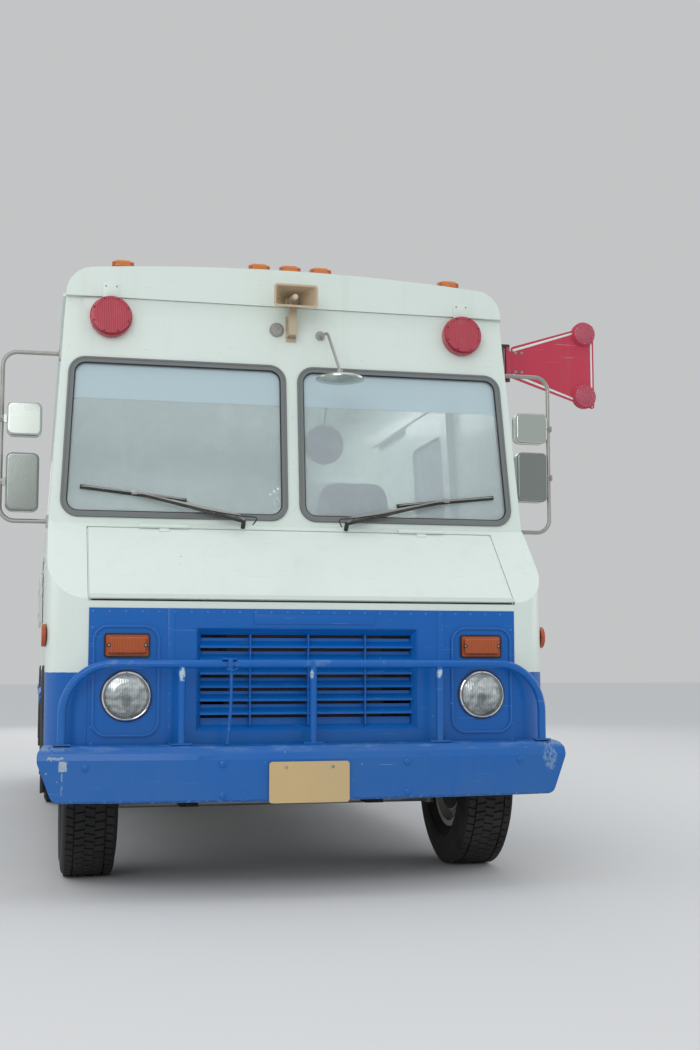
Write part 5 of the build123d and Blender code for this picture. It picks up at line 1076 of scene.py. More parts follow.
def mirrorTrim():
    faces, rims, clamps = Build(), Build(), Build()
    for side, inner, outer, low, top, depth in mirrorSet["heads"]:
        x0, x1 = sorted((side * inner, side * outer))
        y = mirrorSet["bar"][1] + depth / 2
        faces.outline(roundedBox(x0 + 0.010, x1 - 0.010, low + 0.010, top - 0.010, 0.018), y, y + 0.0022)
        lip = roundedBox(x0, x1, low, top, 0.026)
        face = roundedBox(x0 + 0.009, x1 - 0.009, low + 0.009, top - 0.009, 0.019)
        path = ((lip, y - 0.004), (lip, y + 0.005), (face, y + 0.005), (face, y + 0.001))
        for i in range(len(lip)):
            j = (i + 1) % len(lip)
            for (loopA, ya), (loopB, yb) in zip(path, path[1:]):
                quad = ((loopA[i], ya), (loopA[j], ya), (loopB[j], yb), (loopB[i], yb))
                rims.bm.faces.new(rims.corners((p[0], q, p[1]) for p, q in quad))
        mid = (low + top) / 2
        bx, by = side * mirrorSet["bar"][0], mirrorSet["bar"][1]
        clamps.block((bx - 0.014, by - 0.012, mid - 0.013), (bx + 0.014, by + 0.012, mid + 0.013), 0.003)
        clamps.nut((bx + side * 0.002, by - 0.012, mid), (0, -1, 0), 0.006, 0.005)
    for side in (-1, 1):
        for z in (2.150, 1.445):
            for dy in (-0.013, 0.013):
                for dz in (0.017, -0.017):
                    at = (side * (sideX(z) + 0.0085), mirrorSet["bar"][1] + dy, z + dz)
                    clamps.head(at, (side, 0, 0), 0.0055)
    faces.done("mirrorFaces", "root", "brightChrome", "mirror_metal")
    rims.done("mirrorRims", "root", "blackRubber", "seal_rubber")
    clamps.done("mirrorClamps", "root", "agedZinc", "mirror_metal")


mirrorTrim()

# Stop arm: border on the blade, lamp rings and lenses, and bolts

signSet = {"in": (1.094, 2.187, 2.332), "out": (1.505, 2.053, 2.461), "y": 0.100, "half": 0.003,
           "lampX": 1.454, "lampZ": (2.113, 2.412), "lampR": 0.052}


def signTrim():
    s = signSet
    border, rings, bolts, dots = Build(), Build(), Build(), Build()

    def corners(inset):
        (ax, a0, a1), (bx, b0, b1) = s["in"], s["out"]
        small, wide = inset * 1.15, inset * 1.35
        return [(ax + inset, a0 + small), (bx - inset, b0 + wide), (bx - inset, b1 - wide),
                (ax + inset, a1 - small)]

    outer, inner = corners(0.008), corners(0.016)
    x, r = s["lampX"], s["lampR"]
    for face in (-1, 1):
        y0 = s["y"] + face * s["half"]
        y1 = y0 + face * 0.0006
        for i in range(4):
            j = (i + 1) % 4
            quad = [outer[i], outer[j], inner[j], inner[i]]
            a, b = (border.corners((p, y, q) for p, q in quad) for y in (y0, y1))
            border.bm.faces.new(a)
            border.bm.faces.new(b)
            border.skin([a, b], around=True)
        for z in s["lampZ"]:
            rings.lathe([(0.000, r + 0.005), (0.007, r + 0.005), (0.010, r + 0.001), (0.010, r - 0.003)],
                        (x, y0, z), (0, face, 0), 40)
            for k in range(3):
                angle = math.radians(30 + 120 * k)
                bolts.head((x + (r - 0.007) * math.cos(angle), s["y"] + face * 0.0221,
                            z + (r - 0.007) * math.sin(angle)), (0, face, 0), 0.0036)
            dots.lathe([(0.0215, r - 0.003), (0.0235, r - 0.006), (0.0250, 0.020), (0.0254, 0.0)],
                       (x, s["y"], z), (0, face, 0), 36)
            for count, out in ((1, 0.0), (6, 0.014), (12, 0.028), (15, 0.040)):
                for k in range(count):
                    angle = 2 * math.pi * k / count + out
                    dots.head((x + out * math.cos(angle), s["y"] + face * 0.0242,
                               z + out * math.sin(angle)), (0, face, 0), 0.0026, 0.0022, 8)
        for boltX, boltZ in ((1.115, 2.215), (1.115, 2.305), (1.145, 2.215), (1.145, 2.305)):
            bolts.nut((boltX, y0 + face * 0.0028, boltZ), (0, face, 0), 0.0058, 0.005, False)
    dots.done("signLampLenses", "stop_sign", "lampPink", "red_lens")
    border.done("signBorder", "stop_sign", "bodyWhite", "white_paint")
    rings.done("signLampRings", "stop_sign", "signRed", "sign_paint")
    bolts.done("signBolts", "stop_sign", "agedZinc", "bare_steel")


signTrim()
print("screens, mirrors and sign trimmed")

# Side walls: rub rails, rows and columns of rivets, and wheel arch lips

sideSet = {"rail": (0.700, 0.052, 0.014), "front": -0.225, "rear": 4.905, "door": (0.520, 1.200),
           "archR": 0.455, "arches": (0.0, 3.175), "rivet": 0.0042, "pitch": 0.080,
           "lip": ((0.4550, -0.022), (0.4550, 0.006), (0.4615, 0.010), (0.4780, 0.008), (0.4820, -0.0008))}


def clearSpans(z0, z1, spans):
    # where a strip at that height runs, with doors and arches left out
    d0, d1 = sideSet["door"]
    cuts = [(d0 - 0.02, d1 + 0.02)]
    for y in sideSet["arches"]:
        drop = z0 - wheelSet["radius"]
        if drop < sideSet["archR"] + 0.03:
            reach = math.sqrt(max(0.0, (sideSet["archR"] + 0.032) ** 2 - max(0.0, drop) ** 2))
            cuts.append((y - reach, y + reach))
    out = []
    for a, b in spans:
        parts = [(a, b)]
        for c, d in cuts:
            parts = [q for p in parts for q in ((p[0], min(p[1], c)), (max(p[0], d), p[1]))
                     if q[1] - q[0] > 0.02]
        out += parts
    return out


def railTrim(side, word):
    rails = Build()
    z, tall, out = sideSet["rail"]
    foot, crest = 0.9995, 1.0 + out          # from just inside the wall to the rail's face
    for a, b in clearSpans(z - tall / 2, z, [(sideSet["front"], sideSet["rear"])]):
        half = [(foot, -tall / 2), (1.0 + out * 0.55, -tall / 2 + 0.004), (crest, -tall / 4)]
        rails.outline([(side * x, z + dz) for x, dz in half + [(x, -dz) for x, dz in reversed(half)]], a, b)
        for y in spread(a + 0.03, b - 0.03, max(1, int((b - a) / 0.24))):
            rails.head((side * crest, y, z), (side, 0, 0), 0.0055)
    rails.done("rubRails" + word, "root", "truckBlue", "blue_paint")


def sideRivets(side, word):
    rivets = Build()
    spots = []
    for z in (1.300, 1.395)[:1 if side < 0 else 2]:         # the serving shelf takes the upper row's place
        for a, b in clearSpans(z, z, [(sideSet["front"] + 0.02, sideSet["rear"])]):
            spots += [(y, z) for y in spread(a + 0.012, b - 0.012, int((b - a) / sideSet["pitch"]))]
    a, b = 0.05, sideSet["rear"]
    for z in (2.090, 2.355):
        spots += [(y, z) for y in spread(a, b, int((b - a) / sideSet["pitch"]))
                  if z > 2.2 or not 0.48 < y < 1.24]
    for y in (1.300, 1.980, 3.420, 4.300, 4.900):
        for a, b in ((0.86 if abs(y - wheelSet["wheelbase"]) < 0.5 else 0.74, 1.39), (1.41, 2.37)):
            spots += [(y, z) for z in spread(a, b, int((b - a) / sideSet["pitch"]))]
    for y, z in spots:
        rivets.head((side * sideX(z), y, z), sideOut(side, z), sideSet["rivet"], segments=8)
    rivets.done("sideRivets" + word, "root", "bodyTwoTone", "white_paint")


def archLips(side, word):
    lips = Build()
    for y in sideSet["arches"]:
        lips.skin([lips.corners((side * (1.0 + dx), y + math.cos(a) * r, wheelSet["radius"] + math.sin(a) * r)
                                for r, dx in sideSet["lip"]) for a in spread(0.0, math.pi, 32)])
    lips.done("archLips" + word, "root", "blackRubber", "seal_rubber")


def sideTrim():
    for side, word in sides:
        railTrim(side, word.title())
        sideRivets(side, word.title())
        archLips(side, word.title())


sideTrim()

# Cab doors: window gaskets and pull handles

doorSet = {"window": doorWindow, "inset": 0.038}


def ringOnSide(build, side, window, radius, width, proud, face):
    # a gasket strip round a window on a side face that sits inset from the body
    y0, y1, z0, z1 = window
    outer = roundedBox(y0 - width, y1 + width, z0 - width, z1 + width, radius + width)
    inner = roundedBox(y0 + 0.006, y1 - 0.006, z0 + 0.006, z1 - 0.006, max(0.004, radius - 0.006))
    rows = []
    for (a, b), (c, d) in zip(outer, inner):
        xo, xi = sideX(b) - face, sideX(d) - face
        rows.append(build.corners((
            (side * xo, a, b), (side * (xo + proud), a + (c - a) * 0.25, b + (d - b) * 0.25),
            (side * (xi + proud), a + (c - a) * 0.8, b + (d - b) * 0.8), (side * (xi - 0.004), c, d))))
    build.skin(rows, along=True)


def doorTrim():
    for side, word in sides:
        gasket, handle = Build(), Build()
        ringOnSide(gasket, side, doorSet["window"], 0.050, 0.013, 0.0035, doorSet["inset"])
        gasket.done("doorGasket" + word.title(), "cab_door_" + word, "greySeal", "seal_rubber")
        x = side * (1.0 - doorSet["inset"])
        handle.block((x - 0.001, 1.135, 1.10), (x + side * 0.0025, 1.185, 1.30), 0.001)
        handle.lathe([(0.0, 0.016), (0.0035, 0.016), (0.0045, 0.012), (0.0045, 0.0)], (x, 1.160, 1.045),
                     (side, 0, 0), 24)
        handle.done("doorPull" + word.title(), "cab_door_" + word, "brushedSteel", "stainless")


doorTrim()
print("sides trimmed")


# Brow: brackets of the warning lamps and the shallow swell under the roof's edge

def browTrim():
    brackets, screws, cove = Build(), Build(), Build()
    front = bodyShape["roofFrontY"] - 0.0035
    for side in (-1, 1):
        x = side * warning["x"]
        brackets.block((x - 0.034, front, 2.380), (x + 0.034, front + 0.0035, 2.442), 0.0012)
        brackets.block((x - 0.034, front + 0.0004, 2.372), (x + 0.034, wallY(2.376) + 0.002, 2.380))
        for k in (-1, 1):
            screws.head((x + k * 0.022, front, 2.430), (0, -1, 0), 0.0045)
    brackets.done("lampBrackets", "root", "bodyWhite", "white_paint")
    screws.done("lampBracketScrews", "root", "agedZinc", "bare_steel")
    edge, foot, rise, swell = 0.88, 2.292, 0.092, 0.013
    columns = [-edge, -0.84, -0.78, -0.70, -0.30, 0.30, 0.70, 0.78, 0.84, edge]
    rows = []
    for t in spread(0.0, 1.0, 8):
        z = foot + rise * t
        rows.append(cove.corners(
            (x, wallY(z) + 0.0008 - swell * t * t * min(1.0, (edge - abs(x)) / 0.10), z) for x in columns))
    cove.skin(rows)
    cove.done("browCove", "root", "bodyWhite", "white_paint", 60)


browTrim()

# Roof lamps: domed amber lenses over the flat bases

roofLamps = {"x": (-0.714, -0.135, 0.0, 0.135, 0.714), "y": -0.142, "half": (0.047, 0.021), "rise": 0.030}


def roofLampCaps():
    caps = Build()
    for x in roofLamps["x"]:
        w, d = roofLamps["half"]
        low = roofZ(max(0.0, abs(x) - w)) + 0.004
        rows = []
        for k in range(6):
            angle = k * math.pi / 2 / 5.4
            shrink, rise = math.cos(angle) ** 0.6, math.sin(angle) * roofLamps["rise"]
            wide, deep = w * (0.25 + 0.75 * shrink), d * shrink
            y = roofLamps["y"]
            ring = roundedBox(x - wide, x + wide, y - deep, y + deep, 0.019 * shrink)
            rows.append(caps.corners((p, q, low + rise) for p, q in ring))
        caps.skin(rows, around=True)
        caps.bm.faces.new(rows[-1])
    caps.done("roofLampCaps", "root", "amberCap", "amber_lens")


roofLampCaps()

# Grille: back edges of the louvres, the hook rod beside it, and dark baffles at the radiator's sides

grilleSet = {"x": 0.416, "low": 0.626, "pitch": 0.051, "count": 7, "out": -0.600}


def grilleBlades():
    # the folded back edges of the louvres, seen through the slots
    blades = Build()
    y, half = grilleSet["out"], grilleSet["x"]
    for k in range(1, grilleSet["count"]):
        z = grilleSet["low"] + grilleSet["pitch"] * k - 0.006
        blades.outline([(y + 0.0385, z + 0.0205), (y + 0.0400, z + 0.0345), (y + 0.0412, z + 0.0345),
                        (y + 0.0415, z + 0.0195)], -half, half, "X")
    z0, z1 = 0.6255, 0.6540
    blades.outline([(y + 0.040, z0), (y + 0.040, z1), (y + 0.0412, z1), (y + 0.0412, z0)], -half, half, "X")
    blades.done("grilleBlades", "root", "truckBlue", "blue_paint")


def guardLatch():
    # the hook rod hung on the guard bar at the kerb side of the grille
    rod = Build()
    rod.block((-0.352, -0.712, 0.876), (-0.296, -0.690, 0.882), 0.001)
    rod.block((-0.330, -0.713, 0.838), (-0.312, -0.708, 0.880), 0.001)
    rod.tube([(-0.318, -0.712, 0.850), (-0.320, -0.714, 0.700), (-0.330, -0.706, 0.568)], 0.0062, 10, 4)
    rod.tube([(-0.335, -0.716, 0.842), (-0.318, -0.724, 0.836), (-0.296, -0.716, 0.842)], 0.0032, 8, 4)
    rod.rod((-0.330, -0.706, 0.567), (-0.330, -0.706, 0.5615), 0.011, segments=14)
    rod.done("guardLatch", "root", "guardBlue", "blue_paint")


def radiatorBaffles():
    baffles = Build()
    for side in (-1, 1):
        x0, x1 = sorted((side * 0.305, side * 0.440))
        baffles.block((x0, -0.520, 0.570), (x1, -0.516, 1.030))
    baffles.done("radiatorBaffles", "root", "chassisBlack", "chassis")


grilleBlades()
guardLatch()
radiatorBaffles()

# Serving window: frame screws, sill tracks, a pull on each pane and the shelf's edge

serving = {"y": (2.050, 3.350), "z": (1.425, 2.035), "proud": 0.007, "frame": 0.036, "mid": 2.700,
           "shelfY": (2.120, 3.280), "shelfX": -1.012, "shelfZ": 1.392, "shelfDepth": 0.290}


def servingTrim():
    w = serving
    screws, pulls, tracks, edges = Build(), Build(), Build(), Build()
    (y0, y1), (z0, z1) = w["y"], w["z"]
    spots = [(y, z) for z in (z0 + 0.018, z1 - 0.018) for y in spread(y0 + 0.05, y1 - 0.05, 9)]
    spots += [(y, z) for y in (y0 + 0.018, y1 - 0.018, w["mid"]) for z in spread(z0 + 0.08, z1 - 0.08, 3)]
    for y, z in spots:
        screws.head((-(sideX(z) + w["proud"]), y, z), sideOut(-1, z), 0.0045)
    for y in (w["mid"] - 0.050, w["mid"] + 0.050):
        x = -(sideX(1.70) - 0.012)
        pulls.block((x - 0.006, y - 0.012, 1.640), (x, y + 0.012, 1.760), 0.003)
    for low, high in ((y0 + w["frame"], w["mid"] - 0.020), (w["mid"] + 0.020, y1 - w["frame"])):
        for inset in (0.0015, 0.0175):
            x = -(sideX(z0 + w["frame"]) - inset)
            tracks.block((x - 0.002, low, z0 + w["frame"] - 0.001), (x, high, z0 + w["frame"] + 0.006))
    a, b = w["shelfY"]
    x, foot = w["shelfX"], w["shelfZ"] - w["shelfDepth"]
    edges.tube([(x - 0.003, a + 0.004, foot + 0.001), (x - 0.003, b - 0.004, foot + 0.001)], 0.0075, 12, 2)
    for k in range(4):
        y = a + (b - a) * (k + 0.5) / 4
        for z in (foot + 0.055, foot + 0.185):
            edges.block((x - 0.0135, y - 0.110, z), (x - 0.0095, y + 0.110, z + 0.006), 0.001)
    screws.done("servingScrews", "root", "agedZinc", "bare_steel")
    pulls.done("servingPulls", "root", "grainedBlack", "black_plastic")
    tracks.done("servingTracks", "root", "millAluminium", "alloy_sheet")
    edges.done("shelfEdges", "serving_shelf", "brushedSteel", "stainless")


servingTrim()

# Rear: lamp rings, door latch, hinge screws, window gasket, bare plate, step tread and rivet rows

rearSet = {"tail": (0.850, (0.880, 1.010), 0.054, 0.026), "door": (0.380, 0.700, 2.060),
           "hingeZ": (0.880, 1.380, 1.880), "window": rearWindow, "plate": (0.610, 0.960, 0.1524, 0.0762),
           "step": (0.560, 4.962, 5.112), "bars": 0.024,
           "hingeScrews": ((-0.417, -0.037), (-0.397, -0.037), (-0.417, 0.037), (-0.397, 0.037),
                           (-0.352, 0.0), (-0.334, 0.0))}


def rearTrim():
    r = rearSet
    y = bodyShape["rearY"]
    rings, screws, gasket, rivets = Build(), Build(), Build(), Build()
    tailX, tailZ, tailR, out = r["tail"]
    for side in (-1, 1):
        for z in tailZ:
            rings.lathe([(0.0, tailR + 0.009), (0.006, tailR + 0.009), (0.012, tailR + 0.004),
                         (0.013, tailR - 0.001),
                         (0.002, tailR - 0.001)], (side * tailX, y, z), (0, 1, 0), 40)
            for k in range(2):
                x = side * tailX + (tailR - 0.014) * (2 * k - 1)
                screws.head((x, y + out + 0.0002, z), (0, 1, 0), 0.0045)
    for z in r["hingeZ"]:
        for x, dz in r["hingeScrews"]:
            screws.head((x, y + 0.004, z + dz), (0, 1, 0), 0.0042)
    x0, x1, z0, z1 = r["window"]
    outer = roundedBox(x0 - 0.014, x1 + 0.014, z0 - 0.014, z1 + 0.014, 0.054)
    inner = roundedBox(x0 + 0.006, x1 - 0.006, z0 + 0.006, z1 - 0.006, 0.034)
    gasket.skin([gasket.corners((a + (c - a) * t, y + proud, b + (d - b) * t) for t, proud in
                                ((0.0, -0.0005), (0.25, 0.0045), (0.75, 0.0045), (1.0, -0.003)))
                 for (a, b), (c, d) in zip(outer, inner)], along=True)
    latch = Build()
    latch.block((0.272, y - 0.0005, 1.180), (0.328, y + 0.0030, 1.440), 0.0012)
    latch.lathe([(0.0, 0.015), (0.006, 0.015), (0.009, 0.011), (0.009, 0.0)],
                (0.300, y + 0.003, 1.205), (0, 1, 0), 24)
    latch.block((0.330, y - 0.0005, 1.290), (0.3735, y + 0.0060, 1.330), 0.0015)
    latch.done("rearLatch", "rear_door", "brushedSteel", "stainless")
    px, pz, halfW, halfH = r["plate"]
    back = Build()
    back.outline(roundedBox(px - halfW, px + halfW, pz - halfH, pz + halfH, 0.012), y + 0.003, y + 0.0042)
    back.done("rearPlate", "root", "plateCream", "white_paint")
    for k in (-1, 1):
        screws.head((px + k * 0.0889, y + 0.0042, pz), (0, 1, 0), 0.0058, 0.0035, 14)
        screws.rod((px + k * 0.0889, y - 0.001, pz), (px + k * 0.0889, y + 0.0042, pz), 0.003, segments=8)
    shade = Build()
    foot = pz + halfH + 0.010
    shade.block((px - 0.050, y - 0.0005, foot), (px + 0.050, y + 0.026, foot + 0.024), 0.005)
    shade.done("plateLampShade", "root", "grainedBlack", "black_plastic")
    half, low, high = r["door"]
    spots = []
    for z in spread(low + 0.04, high - 0.02, 17):
        for x in (half + 0.028, 0.960 if z < bodyShape["belt"] else sideX(z) - 0.040):
            clear = x > half + 0.06 or all(abs(z - h) > 0.075 for h in r["hingeZ"])
            spots += [(x, z)] + ([(-x, z)] if clear else [])
    for x in spread(-0.88, 0.88, 22):
        spots += [(x, 2.345), (x, 2.095 if abs(x) < half + 0.05 else 1.395)]
    for x, z in spots:
        rivets.head((x, y, z), (0, 1, 0), 0.0042, segments=8)
    rings.done("tailRings", "root", "brightChrome", "chrome")
    screws.done("rearScrews", "root", "agedZinc", "bare_steel")
    gasket.done("rearGasket", "rear_door", "greySeal", "seal_rubber")
    rivets.done("rearRivets", "root", "bodyTwoTone", "white_paint")


def stepTread():
    # raised bars on the rear step, set slantwise in turn and kept off the hitch hole
    tread = Build()
    z, y0, y1 = rearSet["step"]
    pitch = rearSet["bars"]
    reach = 0.0075
    x = -0.890
    row = 0
    while x < 0.890:
        y = y0 + (0.006 if row % 2 else 0.018)
        while y < y1:
            if abs(x) > 0.025 or abs(y - 5.050) > 0.025:
                lean = reach if (row + round((y - y0) / pitch)) % 2 else -reach
                tread.tube([(x - reach, y - lean, z), (x + reach, y + lean, z)], 0.0016, 4, 1)
            y += pitch
        x += pitch
        row += 1
    tread.done("stepTread", "root", "millAluminium", "alloy_sheet")


rearTrim()
stepTread()

# Roof: rivets over the bows and along the edges, and the vent's ribs, louvres and screws

roofSet = {"front": -0.120, "rear": 4.880, "edge": 0.880, "bow": 0.6250, "pitch": 0.085,
           "vent": (0.0, 2.600, 0.200, 0.110), "ventScrews": 0.215}


def roofTrim():
    r = roofSet
    rivets, vent = Build(), Build()
    y = r["front"] + 0.030
    vx, vy, half, rise = r["vent"]
    edge = r["edge"]
    while y < r["rear"]:
        for x in spread(-edge, edge, int(1.80 / r["pitch"])):
            if abs(x - vx) > half + 0.05 or abs(y - vy) > half + 0.05:
                rivets.head((x, y, roofZ(x) - 0.0002), (0.10 * x, 0, 1), 0.0045, segments=8)
        y += r["bow"]
    for side in (-1, 1):
        for y in spread(r["front"] + 0.03, r["rear"] - 0.03, int((r["rear"] - r["front"]) / r["pitch"])):
            rivets.head((side * edge, y, roofZ(edge)), (side * 0.10, 0, 1), 0.0045, segments=8)
    top = bodyShape["eave"] + bodyShape["crown"] + rise
    run = half - 0.050
    for x in spread(vx - 0.135, vx + 0.135, 6):
        vent.block((x - 0.007, vy - run, top - 0.001), (x + 0.007, vy + run, top + 0.006), 0.002)
    run = half - 0.03
    for side in (-1, 1):
        near0, far0 = side * half - 0.001, side * (half + 0.0045)
        for z in spread(top - rise + 0.022, top - rise + 0.067, 5):
            vent.block((vx - run, vy + near0, z), (vx + run, vy + far0, z + 0.004))
            vent.block((vx + near0, vy - run, z), (vx + far0, vy + run, z + 0.004))
    for k in range(12):
        angle = k * math.pi / 6 + 0.13
        x, y = (middle + r["ventScrews"] * max(-1.0, min(1.0, 1.35 * turn(angle)))
                for middle, turn in ((vx, math.cos), (vy, math.sin)))
        vent.head((x, y, roofZ(x) + 0.006), (0, 0, 1), 0.0048)
    rivets.done("roofRivets", "root", "bodyWhite", "white_paint")
    vent.done("ventRibs", "root", "millAluminium", "alloy_sheet")


roofTrim()
print("windows, rear and roof trimmed")

# Cab: gauges, knobs, pedals, gear lever, stalk, visors, mats on the wheel houses and cover latches

cabSet = {"seatX": 0.525, "dashTop": 1.338, "dashLow": 1.210, "floor": 0.720, "houseTop": 0.862,
          "coverHalf": 0.340, "coverTop": 1.024, "panel": (-0.215, 0.245, 0.056),
          "gauges": ((-0.150, 0.046), (-0.045, 0.046), (0.055, 0.030), (0.125, 0.030), (0.195, 0.030))}


def dashTrim():
    # instruments and knobs on the dashboard's sloped face
    c = cabSet
    low, high = Vector((0, 0.010, c["dashLow"])), Vector((0, -0.020, c["dashTop"]))
    up = (high - low).normalized()
    out = Vector((0, up.z, -up.y))
    mid = (low + high) / 2
    plateBack, rims, dials, needles = Build(), Build(), Build(), Build()
    centre = Vector((c["seatX"], 0, 0)) + mid
    x0, x1, tall = c["panel"]
    spots = [centre + Vector((x, 0, 0)) + up * v
             for x, v in ((x0, -tall), (x1, -tall), (x1, tall), (x0, tall))]
    face = plateBack.corners(p + out * 0.004 for p in spots)
    plateBack.skin([plateBack.corners(p - out * 0.001 for p in spots), face], around=True)
    plateBack.bm.faces.new(face)
    for x, r in c["gauges"]:
        at = centre + Vector((x, 0, 0)) + out * 0.004
        rims.lathe([(0.0, r), (0.006, r), (0.008, r - 0.003), (0.004, r - 0.005)], at, out, 32)
        dials.lathe([(0.0015, r - 0.004), (0.0015, 0.0)], at, out, 32)
        for k in range(9):
            angle = math.radians(225 - 270 * k / 8)
            spoke = Vector((math.cos(angle), 0, 0)) + up * math.sin(angle)
            mark = at + out * 0.002
            needles.rod(mark + spoke * (r * 0.66), mark + spoke * (r * 0.80), 0.0008, segments=4)
        spoke = Vector((-0.6, 0, 0)) + up * 0.35
        needles.rod(at + out * 0.003, at + out * 0.003 + spoke * r, 0.0010, segments=5)
    knobs = Build()
    for k in range(6):
        at = Vector((0.205 - 0.055 * k, 0, 0)) + mid - up * 0.02
        knobs.lathe([(0.0, 0.006), (0.012, 0.006), (0.014, 0.011), (0.024, 0.010), (0.026, 0.0)], at, out, 18)
    knobs.block((-0.62, -0.014, 1.222), (-0.30, 0.013, 1.226), 0.001)
    knobs.block((-0.56, 0.008, 1.240), (-0.36, 0.016, 1.300), 0.004)
    plateBack.done("gaugePanel", "root", "grainedBlack", "black_plastic")
    rims.done("gaugeRims", "root", "brightChrome", "chrome")
    dials.done("gaugeDials", "root", "grainedBlack", "black_plastic")
    needles.done("gaugeMarks", "root", "bodyWhite", "white_paint")
    knobs.done("dashKnobs", "root", "grainedBlack", "black_plastic")


def cabTrim():
    c = cabSet
    floor = c["floor"]
    pedals = Build()
    for x, wide in ((0.405, 0.055), (0.505, 0.050), (0.615, 0.034)):
        tall = 0.060 if wide > 0.04 else 0.110
        foot = Vector((x, 0.060, floor + 0.175))
        half = Vector((wide / 2 + 0.008, 0.006, tall / 2))
        pedals.block(foot - half, foot + half, 0.004, Matrix.Rotation(math.radians(28), 3, "X"))
        arm = [foot - Vector((0, 0.004, 0)), foot - Vector((0, 0.055, 0.06)), (x, -0.070, floor + 0.143)]
        pedals.tube(arm, 0.008, 8, 4)
    lever = Build()
    top = c["coverTop"]
    lever.tube([(0.235, 0.205, top - 0.002), (0.240, 0.225, 1.150), (0.262, 0.285, 1.285)], 0.0075, 10, 5)
    lever.lathe([(0.0, 0.055), (0.012, 0.050), (0.030, 0.026), (0.052, 0.010)],
                (0.235, 0.205, top), (0.02, 0.1, 1), 24)
    lever.lathe([(-0.020, 0.0), (-0.014, 0.016), (0.0, 0.022), (0.014, 0.019), (0.024, 0.0)],
                (0.262, 0.285, 1.290), (0.1, 0.3, 1), 20)
    stalk = Build()
    stalk.tube([(0.500, 0.155, 1.248), (0.430, 0.150, 1.262), (0.345, 0.152, 1.275)], 0.0050, 8, 4)
    stalk.rod((0.355, 0.1515, 1.2735), (0.325, 0.152, 1.279), 0.0085, segments=12)
    latches = Build()
    half = c["coverHalf"]
    for side in (-1, 1):
        for y in (-0.05, 0.18):
            x0, x1 = sorted((side * half, side * (half + 0.010)))
            latches.block((x0, y - 0.012, 0.800), (x1, y + 0.012, 0.870), 0.003)
            latches.tube([(side * (half + 0.004), y, 0.795), (side * (half + 0.010), y, 0.770),
                          (side * (half + 0.004), y, 0.745)], 0.003, 6, 4)
    mats = Build()
    top = c["houseTop"]
    for x0, x1 in ((0.470, 0.800), (-0.800, -0.470)):
        mats.block((x0, 0.080, top), (x1, 0.460, top + 0.006), 0.002)
        for k in range(11):
            y = 0.096 + 0.034 * k
            mats.block((x0 + 0.02, y, top + 0.0055), (x1 - 0.02, y + 0.010, top + 0.0095))
    visors = Build()
    for x in (-0.480, 0.480):
        hinge = Vector((x, wallY(2.235) + 0.050, 2.235))
        visors.block(hinge + Vector((-0.230, -0.007, -0.120)), hinge + Vector((0.230, 0.007, 0.0)), 0.006,
                     Matrix.Rotation(math.radians(58), 3, "X"), hinge)
        for k in (-1, 1):
            visors.rod(hinge + Vector((k * 0.20, 0, 0)), (x + k * 0.20, wallY(2.250) + 0.030, 2.250),
                       0.005, segments=8)
    pedals.done("pedals", "root", "chassisBlack", "chassis")
    lever.done("gearLever", "root", "grainedBlack", "black_plastic")
    stalk.done("turnStalk", "root", "grainedBlack", "black_plastic")
    latches.done("coverLatches", "root", "agedZinc", "bare_steel")
    mats.done("cabMats", "root", "blackRubber", "black_plastic")
    visors.done("sunVisors", "root", "wornVinyl", "vinyl")


dashTrim()
cabTrim()

# Driver's seat: pedestal with support tubes, padded cushion and back with sewn channels

seatSet = {"x": 0.525, "cushion": (0.200, 0.500, 0.960, 1.115, 1.225),
           "back": (0.190, 0.880, 0.975, 1.225, 1.790),
           "pedestal": (0.140, 0.560, 0.860)}


def cushionForm(name, low, high, face, channels, finish):
    # a crowned pad: a rounded block whose sides pull in between the corners, with sewn channels on one face
    bm = bmesh.new()
    bmesh.ops.create_cube(bm, size=2)
    bmesh.ops.subdivide_edges(bm, edges=list(bm.edges), cuts=30, use_grid_fill=True)
    low, high = Vector(low), Vector(high)
    middle, reach = (low + high) / 2, (high - low) / 2
    across = 0
    along = 3 - face - across
    for v in bm.verts:
        p = [max(-1.0, min(1.0, c)) for c in v.co]
        total = sum(abs(c) ** 5 for c in p) ** 0.2
        biggest = max(abs(c) for c in p)
        q = [c * biggest / total for c in p]
        pull = 0.030
        a, b = q[across], q[along]
        q[across] = a * (1 - pull * (1 - b * b))
        q[along] = b * (1 - pull * (1 - a * a))
        crown = 1 - 0.10 * (0.5 * a * a + 0.5 * b * b)
        q[face] *= crown
        place = [middle[i] + reach[i] * q[i] for i in range(3)]
        outward = channels["out"] * q[face]
        if outward > 0.5:
            dip = 0.0
            for where in channels["at"]:
                gap = (place[across] - where) / 0.009
                dip += math.exp(-gap * gap)
            edge = max(0.0, 1 - abs(b) ** 6)
            place[face] -= channels["out"] * 0.0075 * dip * edge
        v.co = place
    mesh = bpy.data.meshes.new(name)
    bm.to_mesh(mesh)
    bm.free()
    mesh.shade_smooth()
    obj = addObject(name, mesh)
    mesh.materials.append(finishes[finish])
    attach(obj, "root")
    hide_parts("driver_seat")
    return obj


